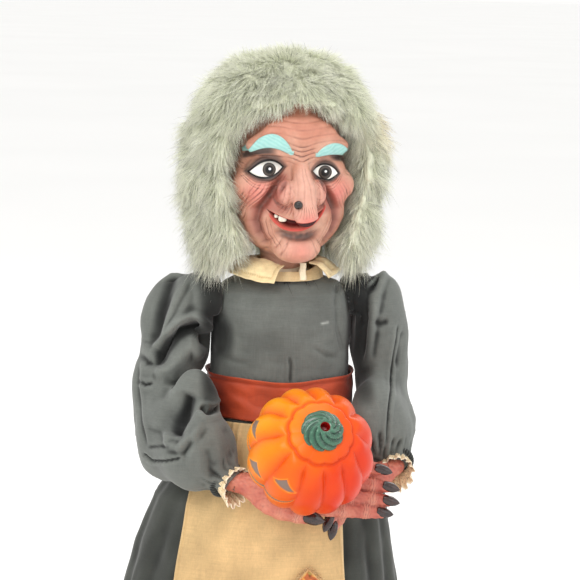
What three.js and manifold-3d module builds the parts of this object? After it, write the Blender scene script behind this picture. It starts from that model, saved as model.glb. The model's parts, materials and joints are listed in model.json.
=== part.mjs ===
// An animated witch figure, 610 mm tall: a doll on a round base that turns its head from side to side and lifts
// a jack-o'-lantern with both hands. A geared motor in the torso turns a crank shaft; a pin on the crank gear swings
// a fork on the head shaft, and a crank behind it pulls a wire link on the shoulder axle.
//
// Millimetres, +Z up, the figure faces -Y, and its left hand is at +X. The origin is the middle of the base's underside.
import * as THREE from "three";
import { mergeVertices } from "three/addons/utils/BufferGeometryUtils.js";
import Module from "manifold-3d";

const wasm = await Module();
wasm.setup();

// ---- Driving dimensions ----
const GAP = 0.3; // between pieces that touch
const WALL = 2.5; // moulded shells
const CLOTH = 1.8; // cloth solids

const BASE_R = 108;
const BASE_TOP = 28;
const LEG_X = 28;
const LEG_R = 11;
const HIP_BOTTOM = 276;
const HIP_TOP = 300;

const SHOULDER_Z = 392; // the arms' hinge, along X through y = 0
const SHOULDER_X = 64; // half the shoulder axle's length
const AXLE_R = 3;

const NECK_SHAFT_R = 3.25;
const NECK_SHAFT_BOTTOM = 400.5;
const HEAD_TURNED = 7; // degrees that the head is turned towards its left at rest
const HEAD_TOP = 610;

const CRANK_Z = 350; // the crank shaft lies along Y through x = 0
const MODULE = 1.25; // gear tooth size
const CRANK_TEETH = 28;
const IDLER_TEETH = 24;
const PINION_TEETH = 10;
const FORK_R = 15.5; // from the neck's axis to the middle of the fork
const HEAD_CRANK_R = 7.5; // swings the head 30 degrees each way
const LEVER_R = 26; // from the shoulder axle to its wire link
const LEVER_UP = 9; // degrees that the lever points up at rest
const ARM_CRANK_R = 4; // lifts the arms 18 degrees

const PUMPKIN_CENTRE = [8, -126, 304];
const PUMPKIN_STEM = [0.087, -0.822, 0.562]; // the way its stem points
const PUMPKIN_FACE = [-0.808, -0.388, -0.442]; // the way its cut face looks
const PUMPKIN_R = 50;
const PUMPKIN_H = 43; // half its height

// The half width and half depth of each oval, from the bottom up: [z, half width, half depth, shift in x].
const TORSO = [
  [HIP_TOP + 0.5, 54, 41],
  [320, 55, 42],
  [345, 54, 41],
  [385, 55, 42],
  [404, 52, 38],
  [416, 40, 29],
  [423, 24, 19],
  [436, 13, 13],
];
const SKIRT = [
  [14, 148, 134, -16],
  [80, 134, 110, -14],
  [150, 120, 88, -12],
  [200, 109, 74, -9],
  [240, 97, 63, -5],
  [258, 84, 59, -3],
  [276, 69, 54, -1],
  [308, 62, 46, 0],
];

// ---- Shape helpers ----
const degrees = (angle) => (angle * Math.PI) / 180;
const vector = (point) => new THREE.Vector3(...point);

// A closed three.js geometry as a manifold-3d solid.
function solid(geometry) {
  const bare = geometry.index ? geometry.toNonIndexed() : geometry.clone();
  bare.deleteAttribute("normal");
  bare.deleteAttribute("uv");
  const merged = mergeVertices(bare, 1e-4);
  const corners = merged.index.array;
  const kept = [];
  for (let i = 0; i < corners.length; i += 3) {
    const [a, b, c] = corners.slice(i, i + 3);
    if (a !== b && b !== c && c !== a) kept.push(a, b, c);
  }
  const made = (order) =>
    new wasm.Manifold(
      new wasm.Mesh({
        numProp: 3,
        vertProperties: merged.attributes.position.array,
        triVerts: new Uint32Array(order),
      }),
    );
  const first = made(kept);
  return first.volume() > 0 ? first : made(kept.reverse());
}

// A solid as a three.js geometry again.
function geometryOf(body) {
  const mesh = body.getMesh();
  const positions = new Float32Array(mesh.numVert * 3);
  for (let i = 0; i < mesh.numVert; i++) {
    const start = i * mesh.numProp;
    positions.set(mesh.vertProperties.subarray(start, start + 3), i * 3);
  }
  const geometry = new THREE.BufferGeometry();
  geometry.setAttribute("position", new THREE.BufferAttribute(positions, 3));
  geometry.setIndex(new THREE.BufferAttribute(mesh.triVerts, 1));
  return geometry;
}

const join = (...bodies) => bodies.reduce((all, body) => all.add(body));

const cut = (body, ...tools) => tools.reduce((left, tool) => left.subtract(tool), body);

function block(centre, size) {
  return solid(new THREE.BoxGeometry(...size).translate(...centre));
}

function ball(centre, radii, around = 16, up = 12) {
  const sphere = new THREE.SphereGeometry(1, around, up).rotateX(Math.PI / 2);
  return solid(sphere.scale(...radii).translate(...centre));
}

// A cylinder or cone between two points.
function rod(from, to, radius, sides = 12, endRadius = radius) {
  const axis = vector(to).sub(vector(from));
  const turn = new THREE.Quaternion().setFromUnitVectors(new THREE.Vector3(0, 1, 0), axis.clone().normalize());
  const cylinder = new THREE.CylinderGeometry(endRadius, radius, axis.length(), sides);
  const middle = vector(from).addScaledVector(axis, 0.5);
  return solid(cylinder.applyQuaternion(turn).translate(middle.x, middle.y, middle.z));
}

// A round bar bent through the points.
function bentRod(points, radius, steps, sides = 8) {
  const section = new THREE.Shape().absarc(0, 0, radius, 0, 2 * Math.PI);
  const path = new THREE.CatmullRomCurve3(points.map(vector));
  return solid(new THREE.ExtrudeGeometry(section, { steps, curveSegments: sides / 2, extrudePath: path }));
}

// A solid of revolution about Z from [radius, z] points. A profile that leaves the axis closes on itself.
function turned(profile, segments = 20) {
  const open = profile[0][0] > 0;
  const points = (open ? [...profile, profile[0]] : profile).map(([r, z]) => new THREE.Vector2(r, z));
  return solid(new THREE.LatheGeometry(points, segments).rotateX(Math.PI / 2));
}

// A solid through oval levels [z, half width, half depth, shift in x], with flat ends.
function oval(levels, segments = 20) {
  const points = levels.map(([z, width]) => new THREE.Vector2(width, z));
  const low = new THREE.Vector2(0, levels[0][0]);
  const high = new THREE.Vector2(0, levels.at(-1)[0]);
  const geometry = new THREE.LatheGeometry([low, ...points, high], segments).rotateX(Math.PI / 2);
  const place = geometry.attributes.position;
  for (let i = 0; i < place.count; i++) {
    const [, width, depth, shift = 0] = levels.find(([z]) => Math.abs(z - place.getZ(i)) < 1e-3);
    place.setX(i, place.getX(i) + shift);
    place.setY(i, (place.getY(i) * depth) / width);
  }
  return solid(geometry);
}

const grown = (levels, by) => levels.map(([z, width, depth, shift]) => [z, width + by, depth + by, shift]);

// The levels with the lowest and the highest moved out, so that a cut with them runs past both ends.
function runPast(levels, low, high) {
  const [first, last] = [levels[0], levels.at(-1)];
  return [[first[0] - low, ...first.slice(1)], ...levels.slice(1, -1), [last[0] + high, ...last.slice(1)]];
}

// The part of the levels between two heights, cut straight across.
function between(levels, low, high) {
  const at = (z) => {
    const i = Math.max(1, levels.findIndex(([top]) => top >= z));
    const [a, b] = [levels[i - 1], levels[i]];
    const t = (z - a[0]) / (b[0] - a[0]);
    return [z, a[1] + t * (b[1] - a[1]), a[2] + t * (b[2] - a[2])];
  };
  return [at(low), ...levels.filter(([z]) => z > low + 1 && z < high - 1), at(high)];
}

// An oval tube from one offset of the levels to another, open at both ends.
function ovalTube(levels, inner, outer, segments = 20) {
  return oval(grown(levels, outer), segments).subtract(oval(runPast(grown(levels, inner), 1, 1), segments));
}

// An outline in X and Z, extruded from the plane y = from towards the front.
function frontPrism(outline, from, depth) {
  const shape = new THREE.Shape(outline.map(([x, z]) => new THREE.Vector2(x, z)));
  const geometry = new THREE.ExtrudeGeometry(shape, { depth, bevelEnabled: false });
  return solid(geometry.rotateX(Math.PI / 2).translate(0, from, 0));
}

// ---- Materials ----
const look = (color, roughness, metalness = 0) =>
  new THREE.MeshStandardMaterial({ color, roughness, metalness, flatShading: true });
const MATERIALS = {
  blackPlastic: look(0x1b1b1c, 0.5),
  creamPlastic: look(0xe3cfae, 0.55),
  gearPlastic: look(0xf1ede2, 0.4),
  rubber: look(0x202020, 0.85),
  steel: look(0xb6b8bb, 0.35, 1),
  vinyl: look(0xc98a76, 0.55),
  fur: look(0xb9bda0, 0.95),
  darkCloth: look(0x4c4f4d, 0.9),
  orangeCloth: look(0xc4512b, 0.85),
  apronCloth: look(0xd2b27f, 0.9),
  patchCloth: look(0xa86a3c, 0.9),
  creamCloth: look(0xecd8a6, 0.85),
  laceCloth: look(0xd9cfae, 0.9),
  pumpkin: look(0xf0641e, 0.4),
  stem: look(0x3f7a58, 0.25),
  bulb: look(0xf5f0dc, 0.1),
};

// ---- The figure's groups: what stands, the head, the arms and the pumpkin in the hands ----
const figure = new THREE.Group();
const stand = new THREE.Group();
const head = new THREE.Group();
const arms = new THREE.Group();
const pumpkin = new THREE.Group();
figure.add(stand, head, arms);
arms.add(pumpkin);
head.rotation.z = degrees(HEAD_TURNED);
const stemWay = vector(PUMPKIN_STEM).normalize();
const faceWay = vector(PUMPKIN_FACE).projectOnPlane(stemWay).normalize();
const pumpkinY = faceWay.clone().negate();
const pumpkinX = pumpkinY.clone().cross(stemWay);
pumpkin.setRotationFromMatrix(new THREE.Matrix4().makeBasis(pumpkinX, pumpkinY, stemWay));
pumpkin.position.set(...PUMPKIN_CENTRE);

function add(group, name, body, material) {
  const mesh = new THREE.Mesh(geometryOf(body), MATERIALS[material]);
  mesh.name = name;
  group.add(mesh);
}

// ---- Base, with its bottom plate, four screws, cord grommet and slide switch ----
const SCREW_PLACES = [
  [70, 60],
  [-70, 60],
  [-70, -60],
  [70, -60],
];
const GROMMET = { x: -30, z: 11.6, y: Math.sqrt(BASE_R ** 2 - 30 ** 2) };
const SWITCH = { x: 30, z: 14, y: Math.sqrt(BASE_R ** 2 - 30 ** 2), travel: 4 };

function base() {
  const plateTop = 4;
  const floor = BASE_TOP - 3;
  const skin = turned(
    [
      [0, BASE_TOP],
      [BASE_R - 7, BASE_TOP],
      [BASE_R - 2, BASE_TOP - 3],
      [BASE_R, BASE_TOP - 8],
      [BASE_R, 0.4],
      [BASE_R - WALL, 0.4],
      [BASE_R - WALL, BASE_TOP - 9],
      [BASE_R - 5, floor - 2],
      [BASE_R - 8, floor],
      [0, floor],
    ],
    26,
  );
  const sockets = [-1, 1].map((side) => rod([side * LEG_X, 0, floor - 9], [side * LEG_X, 0, BASE_TOP + 14], LEG_R + 4));
  const legHoles = [-1, 1].map((side) => rod([side * LEG_X, 0, floor - 6], [side * LEG_X, 0, 60], LEG_R + GAP));
  const bosses = SCREW_PLACES.map(([x, y]) => rod([x, y, plateTop + GAP], [x, y, floor + 1], 5, 8));
  const screwHoles = SCREW_PLACES.map(([x, y]) => rod([x, y, 0], [x, y, 17], 2.2, 8));
  const grommetHole = rod([GROMMET.x, GROMMET.y - 14, GROMMET.z], [GROMMET.x, GROMMET.y + 14, GROMMET.z], 5.5, 12);
  const switchHole = block([SWITCH.x, SWITCH.y, SWITCH.z], [13, 24, 6]);
  const shell = cut(join(skin, ...sockets, ...bosses), ...legHoles, ...screwHoles, grommetHole, switchHole);
  add(stand, "base_shell", shell, "blackPlastic");

  const plate = turned(
    [
      [0, 0],
      [BASE_R - WALL - GAP, 0],
      [BASE_R - WALL - GAP, plateTop],
      [0, plateTop],
    ],
    26,
  );
  const heads = SCREW_PLACES.map(([x, y]) => rod([x, y, -1], [x, y, 2.6], 4.4, 10));
  add(stand, "base_plate", cut(plate, ...heads, ...screwHoles), "blackPlastic");

  SCREW_PLACES.forEach(([x, y], i) => {
    const screw = join(rod([x, y, 0.4], [x, y, 2.3], 3.9, 10), rod([x, y, 2], [x, y, 14], 1.7, 8));
    add(stand, `base_screw_${i + 1}`, screw, "steel");
  });
}

function cordGrommet() {
  const ring = turned(
    [
      [2.75, -6],
      [7, -6],
      [7, -4],
      [5.2, -4],
      [5.2, 3],
      [7, 3],
      [6, 7],
      [2.75, 7],
    ],
    16,
  );
  const placed = geometryOf(ring).rotateX(-Math.PI / 2).translate(GROMMET.x, GROMMET.y + 0.5, GROMMET.z);
  add(stand, "cord_grommet", solid(placed).subtract(wallAround(GROMMET.x, 20)), "rubber");
}

// The base's wall near x, a little thickened, so that what sits in it keeps its gap.
function wallAround(x, width) {
  const ring = turned(
    [
      [BASE_R - WALL - GAP, 0],
      [BASE_R + GAP, 0],
      [BASE_R + GAP, BASE_TOP],
      [BASE_R - WALL - GAP, BASE_TOP],
    ],
    26,
  );
  const hole = rod([x, 0, GROMMET.z], [x, 200, GROMMET.z], 5.2, 12);
  return ring.intersect(block([x, 100, GROMMET.z], [width, 60, 40])).subtract(hole);
}

function powerSwitch() {
  const inside = SWITCH.y - WALL - 3.7;
  const body = block([SWITCH.x, inside - 4, SWITCH.z], [16, 7, 9]);
  const track = block([SWITCH.x, inside - 1.5, SWITCH.z], [SWITCH.travel + 4.8, 4, 3.8]);
  add(stand, "switch_body", body.subtract(track), "blackPlastic");
  const start = SWITCH.x - SWITCH.travel / 2;
  const slider = join(
    block([start, inside + 1, SWITCH.z], [4, 8, 3]),
    block([start, SWITCH.y + 1, SWITCH.z], [5, 8, 4.4]),
  );
  add(stand, "switch_slider", slider, "creamPlastic");
}

// ---- Legs, shoes and the block that joins the legs to the torso ----
function legs() {
  for (const [side, word] of [
    [-1, "right"],
    [1, "left"],
  ]) {
    const x = side * LEG_X;
    const tube = cut(
      rod([x, 0, BASE_TOP - 8], [x, 0, HIP_TOP - 8 - GAP], LEG_R),
      rod([x, 0, 0], [x, 0, HIP_TOP], LEG_R - 2),
    );
    add(stand, `leg_${word}`, tube, "creamPlastic");
    const toe = ball([x + side * 3, -36, BASE_TOP + 12], [17, 42, 16], 12, 8);
    const ankle = ball([x, -2, BASE_TOP + 24], [18, 21, 34], 12, 8);
    const ground = block([x, 0, BASE_TOP - 30 + GAP], [100, 200, 60]);
    const top = block([x, 0, BASE_TOP + 48 + 30], [100, 200, 60]);
    const socket = rod([x, 0, 0], [x, 0, BASE_TOP + 14 + GAP], LEG_R + 4 + GAP);
    const leg = rod([x, 0, 0], [x, 0, 120], LEG_R + GAP);
    add(stand, `shoe_${word}`, cut(join(toe, ankle), ground, top, socket, leg), "blackPlastic");
  }
  const hips = oval([
    [HIP_BOTTOM, 46, 26],
    [HIP_BOTTOM + 10, 50, 34],
    [HIP_TOP, 50, 34],
  ]);
  const holes = [-1, 1].map((side) => rod([side * LEG_X, 0, 200], [side * LEG_X, 0, HIP_TOP - 8], LEG_R + GAP));
  add(stand, "hip_block", cut(hips, ...holes), "creamPlastic");
}

// ---- Torso halves, their screws and the bushes ----
const TORSO_SCREWS = [
  [42, 312],
  [-42, 312],
  [43, 374],
  [-43, 374],
];

function torso() {
  const outside = oval(TORSO);
  const inside = oval(runPast(grown(TORSO, -WALL), 5, 5));
  const armHole = rod([-80, 0, SHOULDER_Z], [80, 0, SHOULDER_Z], 8 + GAP);
  const neckHole = rod([0, 0, 410], [0, 0, 450], 8 + GAP);
  const shell = cut(outside, inside, armHole, neckHole);
  const posts = (sign) =>
    TORSO_SCREWS.map(([x, z]) => rod([x, sign * 0.15, z], [x, sign * 60, z], 4, 8).intersect(outside));
  const half = (sign) => block([0, sign * 100.15, 380], [300, 200, 300]);
  const holes = TORSO_SCREWS.map(([x, z]) => rod([x, -12, z], [x, 60, z], 2.1, 8));
  const sinks = TORSO_SCREWS.map(([x, z]) => rod([x, screwSeat(x, z), z], [x, 60, z], 3.9, 8));
  add(stand, "torso_front", cut(join(shell.intersect(half(-1)), ...posts(-1)), ...holes), "creamPlastic");
  const back = join(shell.intersect(half(1)), ...posts(1));
  add(stand, "torso_back", cut(back, ...holes, ...sinks), "creamPlastic");
  TORSO_SCREWS.forEach(([x, z], i) => {
    const seat = screwSeat(x, z) + GAP;
    const screw = join(rod([x, seat, z], [x, seat + 2, z], 3.4, 8), rod([x, -10, z], [x, seat + 1, z], 1.6, 8));
    add(stand, `torso_screw_${i + 1}`, screw, "steel");
  });
}

// How far back a torso screw's head seats, 7 mm below the shell's surface.
function screwSeat(x, z) {
  const [, width, depth] = between(TORSO, z, 430)[0];
  return depth * Math.sqrt(1 - (x / width) ** 2) - 7;
}

function bushes() {
  const neck = turned([
    [NECK_SHAFT_R + 0.15, 414],
    [8, 414],
    [8, 436.5],
    [11, 436.5],
    [11, 439],
    [NECK_SHAFT_R + 0.15, 439],
  ]);
  add(stand, "neck_bush", neck, "gearPlastic");
  for (const [side, word] of [
    [-1, "right"],
    [1, "left"],
  ]) {
    const bush = cut(
      join(
        rod([side * 48, 0, SHOULDER_Z], [side * 57.5, 0, SHOULDER_Z], 8),
        rod([side * 45.5, 0, SHOULDER_Z], [side * 48.5, 0, SHOULDER_Z], 10),
      ),
      rod([side * 40, 0, SHOULDER_Z], [side * 60, 0, SHOULDER_Z], AXLE_R + 0.15),
      oval(runPast(TORSO, 1, 1)).subtract(oval(runPast(grown(TORSO, -WALL - GAP), 3, 3))).subtract(
        rod([side * 40, 0, SHOULDER_Z], [side * 60, 0, SHOULDER_Z], 8),
      ),
    );
    add(stand, `shoulder_bush_${word}`, bush, "gearPlastic");
  }
}

// ---- Drive: chassis, motor, two gear stages and the crank shaft ----
const CRANK = [0, CRANK_Z];
const IDLER = polar(CRANK, (MODULE * (CRANK_TEETH + PINION_TEETH)) / 2, 233);
const MOTOR = polar(IDLER, (MODULE * (IDLER_TEETH + PINION_TEETH)) / 2, 323);
const IDLER_WAY = 233;
const MOTOR_WAY = 323;

function polar([x, z], radius, angle) {
  return [x + radius * Math.cos(degrees(angle)), z + radius * Math.sin(degrees(angle))];
}

// A spur gear about Y through (x, z) from y = back towards the front, with a tooth pointing at the angle.
function gear([x, z], teeth, back, thickness, tooth) {
  const pitch = (MODULE * teeth) / 2;
  const baseR = pitch * Math.cos(degrees(20));
  const backlash = 0.3;
  const involute = (r) => {
    const alpha = r > baseR ? Math.acos(baseR / r) : 0;
    return Math.tan(alpha) - alpha;
  };
  const halfAtPitch = ((Math.PI * MODULE) / 2 - backlash) / (2 * pitch);
  const halfAt = (r) => halfAtPitch + involute(pitch) - involute(r);
  const radii = [pitch - 1.25 * MODULE, pitch + 0.8 * MODULE];
  const outline = [];
  for (let i = 0; i < teeth; i++) {
    const middle = degrees(tooth) + (i * 2 * Math.PI) / teeth;
    for (const r of radii) outline.push([r, middle - halfAt(r)]);
    for (const r of [...radii].reverse()) outline.push([r, middle + halfAt(r)]);
  }
  const points = outline.map(([r, angle]) => [x + r * Math.cos(angle), z + r * Math.sin(angle)]);
  return frontPrism(points, back, thickness);
}

const along = ([x, z], from, to, radius, sides = 12) => rod([x, from, z], [x, to, z], radius, sides);

function drive() {
  const plate = block([0, 5, 343], [72, 2, 80]);
  const feet = [
    [-31, 308],
    [31, 308],
    [-31, 378],
    [31, 378],
  ];
  const posts = feet.map((place) => along(place, 5, 25, 3));
  const holes = [along(CRANK, 0, 10, 2.4), along(IDLER, 0, 10, 1.8), along(MOTOR, 0, 10, 3.2)];
  add(stand, "chassis", cut(join(plate, ...posts), ...holes), "steel");

  const motor = join(along(MOTOR, 6 + GAP, 30, 13, 20), along(MOTOR, 30, 33, 4));
  add(stand, "motor", motor, "steel");

  const pinionTooth = MOTOR_WAY + 180 + 180 / PINION_TEETH;
  const pinion = gear(MOTOR, PINION_TEETH, 3, 3.5, pinionTooth);
  add(stand, "motor_pinion", join(pinion, along(MOTOR, 2.5, 6, 2.5)), "gearPlastic");

  add(stand, "idler_pin", join(along(IDLER, 8, -6.5, 1.5), along(IDLER, 6 + GAP, 8, 3)), "steel");
  const idler = join(
    gear(IDLER, IDLER_TEETH, 3, 3, MOTOR_WAY),
    gear(IDLER, PINION_TEETH, 0.5, 6, IDLER_WAY + 180 + 180 / PINION_TEETH),
  );
  add(stand, "idler_gear", cut(idler, along(IDLER, 10, -10, 1.7)), "gearPlastic");

  const pinAngle = 90 - Math.asin((FORK_R * Math.sin(degrees(HEAD_TURNED))) / HEAD_CRANK_R) * (180 / Math.PI);
  const headPin = polar(CRANK, HEAD_CRANK_R, pinAngle);
  const crankGear = cut(
    join(gear(CRANK, CRANK_TEETH, -1, 4, IDLER_WAY), along(headPin, -4, -9, 1.5, 10)),
    along(CRANK, 0, -10, 2 + GAP),
  );
  add(stand, "crank_gear", crankGear, "gearPlastic");
  add(stand, "crank_shaft", along(CRANK, 20, -6, 2), "steel");
  const armPin = polar(CRANK, ARM_CRANK_R, 90);
  const crank = cut(join(along(CRANK, 16, 20, 8), along(armPin, 19, 24, 1.2, 10)), along(CRANK, 10, 20.5, 2 + GAP));
  const cap = along(CRANK, 20.5, 20.2, 2);
  add(stand, "arm_crank", crank.subtract(cap), "gearPlastic");
}

// ---- Head: shaft, fork, hub, vinyl head and wig, in the head group's own frame ----
const SKULL = { centre: [0, 4, 520], radii: [50, 56, 66] };
const JAW = { centre: [0, -14, 480], radii: [43, 40, 47] };

function headParts() {
  const shaft = rod([0, 0, NECK_SHAFT_BOTTOM], [0, 0, 524], NECK_SHAFT_R);
  add(head, "head_shaft", shaft, "creamPlastic");
  const prong = (side) => block([side * 3.4, -FORK_R, 371], [2.4, 3, 62]);
  const bridge = block([0, -FORK_R / 2 - 1, 403], [9.2, FORK_R + 5, 4]);
  const hub = rod([0, 0, NECK_SHAFT_BOTTOM], [0, 0, 410], 6);
  const fork = cut(join(prong(-1), prong(1), bridge, hub), rod([0, 0, 390], [0, 0, 420], NECK_SHAFT_R + GAP));
  add(head, "head_fork", fork, "steel");

  const skull = ball(SKULL.centre, SKULL.radii, 14, 10);
  const jaw = ball(JAW.centre, JAW.radii, 14, 9);
  const nose = rod([0, -46, 512], [0, -76, 470], 8, 10, 12);
  const noseTip = ball([0, -78, 468], [12, 11, 13], 10, 7);
  const chin = ball([0, -48, 447], [18, 17, 14], 12, 7);
  const less = (radii) => radii.map((r) => r - WALL);
  const hollow = join(ball(SKULL.centre, less(SKULL.radii), 14, 10), ball(JAW.centre, less(JAW.radii), 14, 9));
  const neck = rod([0, 0, 425], [0, 0, 460], 20);
  const shell = cut(join(skull, jaw, nose, noseTip, chin), hollow, neck);
  add(head, "head_shell", shell, "vinyl");

  const hubDisc = join(rod([0, 0, 524 - 12], [0, 0, 530], 8), rod([0, 0, 526], [0, 0, 530], 44, 24));
  add(head, "head_hub", hubDisc.subtract(rod([0, 0, 500], [0, 0, 524 + GAP], NECK_SHAFT_R + GAP)), "creamPlastic");
}

function wig() {
  const bottom = 436;
  const outside = join(
    ball([0, 6, 522], [86, 82, HEAD_TOP - 522], 16, 12),
    oval([
      [bottom, 74, 66],
      [470, 84, 78],
      [522, 85.5, 81],
    ], 16),
  );
  const grow = SKULL.radii.map((r) => r + 1);
  const inside = join(
    ball(SKULL.centre, grow, 14, 10),
    oval([
      [bottom - 10, 54, 60],
      [500, 54, 60],
    ], 14),
  );
  const window = frontPrism(
    [...Array(13).keys()].map((i) => {
      const angle = (Math.PI * i) / 12;
      return [50 * Math.cos(angle), 500 + 52 * Math.sin(angle)];
    }).concat([
      [-46, bottom - 10],
      [46, bottom - 10],
    ]),
    -8,
    120,
  );
  add(head, "wig", cut(outside, inside, window), "fur");
}

// ---- Arms: shoulder axle and lever, wire link, arms, hands, sleeves and cuffs ----
const ARM_PATHS = {
  right: [
    [-SHOULDER_X - 1, 0, SHOULDER_Z],
    [-86, 2, 372],
    [-95, 4, 335],
    [-95, -2, 300],
    [-75, -46, 280],
    [-41, -84, 266],
  ],
  left: [
    [SHOULDER_X + 1, 0, SHOULDER_Z],
    [81, 2, 372],
    [86, 6, 335],
    [88, 4, 304],
    [91, -18, 286],
    [90, -52, 270],
  ],
};

function armParts() {
  const tip = polar([0, SHOULDER_Z], LEVER_R, LEVER_UP); // in Y and Z
  add(arms, "shoulder_axle", rod([-SHOULDER_X, 0, SHOULDER_Z], [SHOULDER_X, 0, SHOULDER_Z], AXLE_R), "steel");
  const lever = cut(
    join(
      rod([-4, 0, SHOULDER_Z], [4, 0, SHOULDER_Z], 6),
      rod([0, 0, SHOULDER_Z], [0, ...tip], 3, 8),
      rod([-1.6, ...tip], [1.6, ...tip], 4.5, 12),
    ),
    rod([-10, 0, SHOULDER_Z], [10, 0, SHOULDER_Z], AXLE_R + GAP),
    rod([-10, ...tip], [10, ...tip], 1.6, 10),
  );
  add(arms, "arm_lever", lever, "gearPlastic");

  const eyeZ = CRANK_Z + ARM_CRANK_R;
  const eye = new THREE.TorusGeometry(2.6, 0.9, 6, 12).rotateX(Math.PI / 2).translate(0, 26, eyeZ);
  const wire = bentRod(
    [
      [-4, ...tip],
      [0, ...tip],
      [4, ...tip],
      [6, tip[0], tip[1] - 4],
      [4.5, 25.8, eyeZ + 16],
      [0.6, 26, eyeZ + 2.8],
    ],
    0.9,
    14,
    6,
  );
  add(arms, "arm_link", join(wire, solid(eye)), "steel");

  for (const [side, word] of [
    [-1, "right"],
    [1, "left"],
  ]) {
    const hub = rod([side * 58.8, 0, SHOULDER_Z], [side * 70, 0, SHOULDER_Z], 9);
    const bar = bentRod(ARM_PATHS[word], 6, 14);
    const socket = rod([side * 50, 0, SHOULDER_Z], [side * (SHOULDER_X + GAP), 0, SHOULDER_Z], AXLE_R + GAP);
    add(arms, `arm_${word}`, join(hub, bar).subtract(socket), "creamPlastic");
  }
}

// A hand as a palm, four fingers and a thumb. Its frame: x along the fingers, y towards the thumb, z out of the palm.
// The curl is the angle that the fingers rise towards the palm's side, lean is how far they bend towards the
// thumb's side, share shortens them, and grow makes the whole hand stouter.
function hand({ place, way, thumbSide, curl, lean = 0, share = 1, grow = 0 }) {
  const x = vector(way).normalize();
  const z = vector(PUMPKIN_STEM).projectOnPlane(x).normalize();
  const y = z.clone().cross(x);
  const frame = new THREE.Matrix4().makeBasis(x, y, z).setPosition(...place);
  const s = thumbSide;
  const fingers = [
    [15.5, 45],
    [5.2, 51],
    [-5.2, 48],
    [-15.5, 38],
  ];
  const parts = [
    ball([42, 0, 0], [33 + grow, 22 + grow, 7.5 + grow], 12, 7),
    ...fingers.map(([across, length]) => {
      const reach = length * share;
      const along = 62 + grow + reach * Math.cos(curl) * (1 - lean / 2);
      const tip = [along, across * s * 1.25 + lean * reach * s, reach * Math.sin(curl)];
      return rod([52, across * s, 0], tip, 5.6 + grow, 7, 3.2 + grow);
    }),
    rod([22, 10 * s, 0], [52 + grow, 27 * s, 3], 7 + grow, 7, 3.5 + grow),
    rod([2 - grow, 0, 0], [24, 0, 0], 8.5 + grow, 10),
  ];
  const placed = geometryOf(join(...parts)).applyMatrix4(frame);
  return solid(placed);
}

const RIGHT_HAND = { place: [-35, -84, 272], way: [0.995, 0.06, 0.03], thumbSide: -1, curl: degrees(4) };
const LEFT_HAND = {
  place: [84, -56, 268],
  way: [-0.874, -0.414, -0.253],
  thumbSide: 1,
  curl: degrees(12),
  lean: 0.62,
  share: 0.72,
};

function hands() {
  const wrist = (word) => {
    const [from, to] = ARM_PATHS[word].slice(-2).map(vector);
    const past = to.clone().add(to.clone().sub(from).setLength(GAP));
    return rod(from.toArray(), past.toArray(), 6 + GAP, 10);
  };
  const bar = (word) => bentRod(ARM_PATHS[word], 6 + GAP, 14);
  const [px, py, pz] = RIGHT_HAND.place;
  const room = join(...[-0.9, 0, 0.9].map((by) => hand({ ...RIGHT_HAND, place: [px + by, py, pz], grow: 0.7 })));
  add(arms, "hand_right", cut(hand(RIGHT_HAND), bar("right"), wrist("right")), "vinyl");
  add(arms, "hand_left", cut(hand(LEFT_HAND), bar("left"), wrist("left"), room), "vinyl");
}

const SLEEVES = {
  right: [
    [[-90, 2, 371], [27.5, 33, 51]],
    [[-97, -6, 316], [25, 35, 44]],
    [[-91, -36, 295], [27, 34, 37]],
    [[-71, -67, 291], [32, 29, 35]],
  ],
  left: [
    [[85, 2, 371], [22.5, 33, 51]],
    [[87, 4, 314], [21.5, 34, 45]],
    [[88, -17, 296], [21, 30, 32]],
  ],
};

function sleeves() {
  for (const [side, word] of [
    [-1, "right"],
    [1, "left"],
  ]) {
    const puffs = (less) =>
      join(...SLEEVES[word].map(([centre, radii]) => ball(centre, radii.map((r) => r - less), 10, 7)));
    const shoulder = rod([side * 50, 0, SHOULDER_Z], [side * 75, 0, SHOULDER_Z], 14);
    const arm = bentRod(ARM_PATHS[word], 8, 14);
    add(arms, `sleeve_${word}`, cut(puffs(0), puffs(CLOTH), shoulder, arm), "darkCloth");
  }
  cuff("right", [-47, -80, 268], 13.5);
  cuff("left", [90.5, -46, 273], 13.5);
}

// A ring of lace round the wrist, just outside the sleeve.
function cuff(word, centre, radius) {
  const path = ARM_PATHS[word];
  const way = vector(path.at(-1)).sub(vector(path.at(-2))).normalize();
  const end = (by) => vector(centre).addScaledVector(way, by).toArray();
  const ring = rod(end(-3), end(3), radius, 12);
  const hole = rod(end(-10), end(10), 11.2, 12);
  const puffs = SLEEVES[word].map(([middle, radii]) => ball(middle, radii.map((r) => r + 0.5), 10, 7));
  add(arms, `cuff_${word}`, cut(ring, hole, ...puffs), "laceCloth");
}

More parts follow.
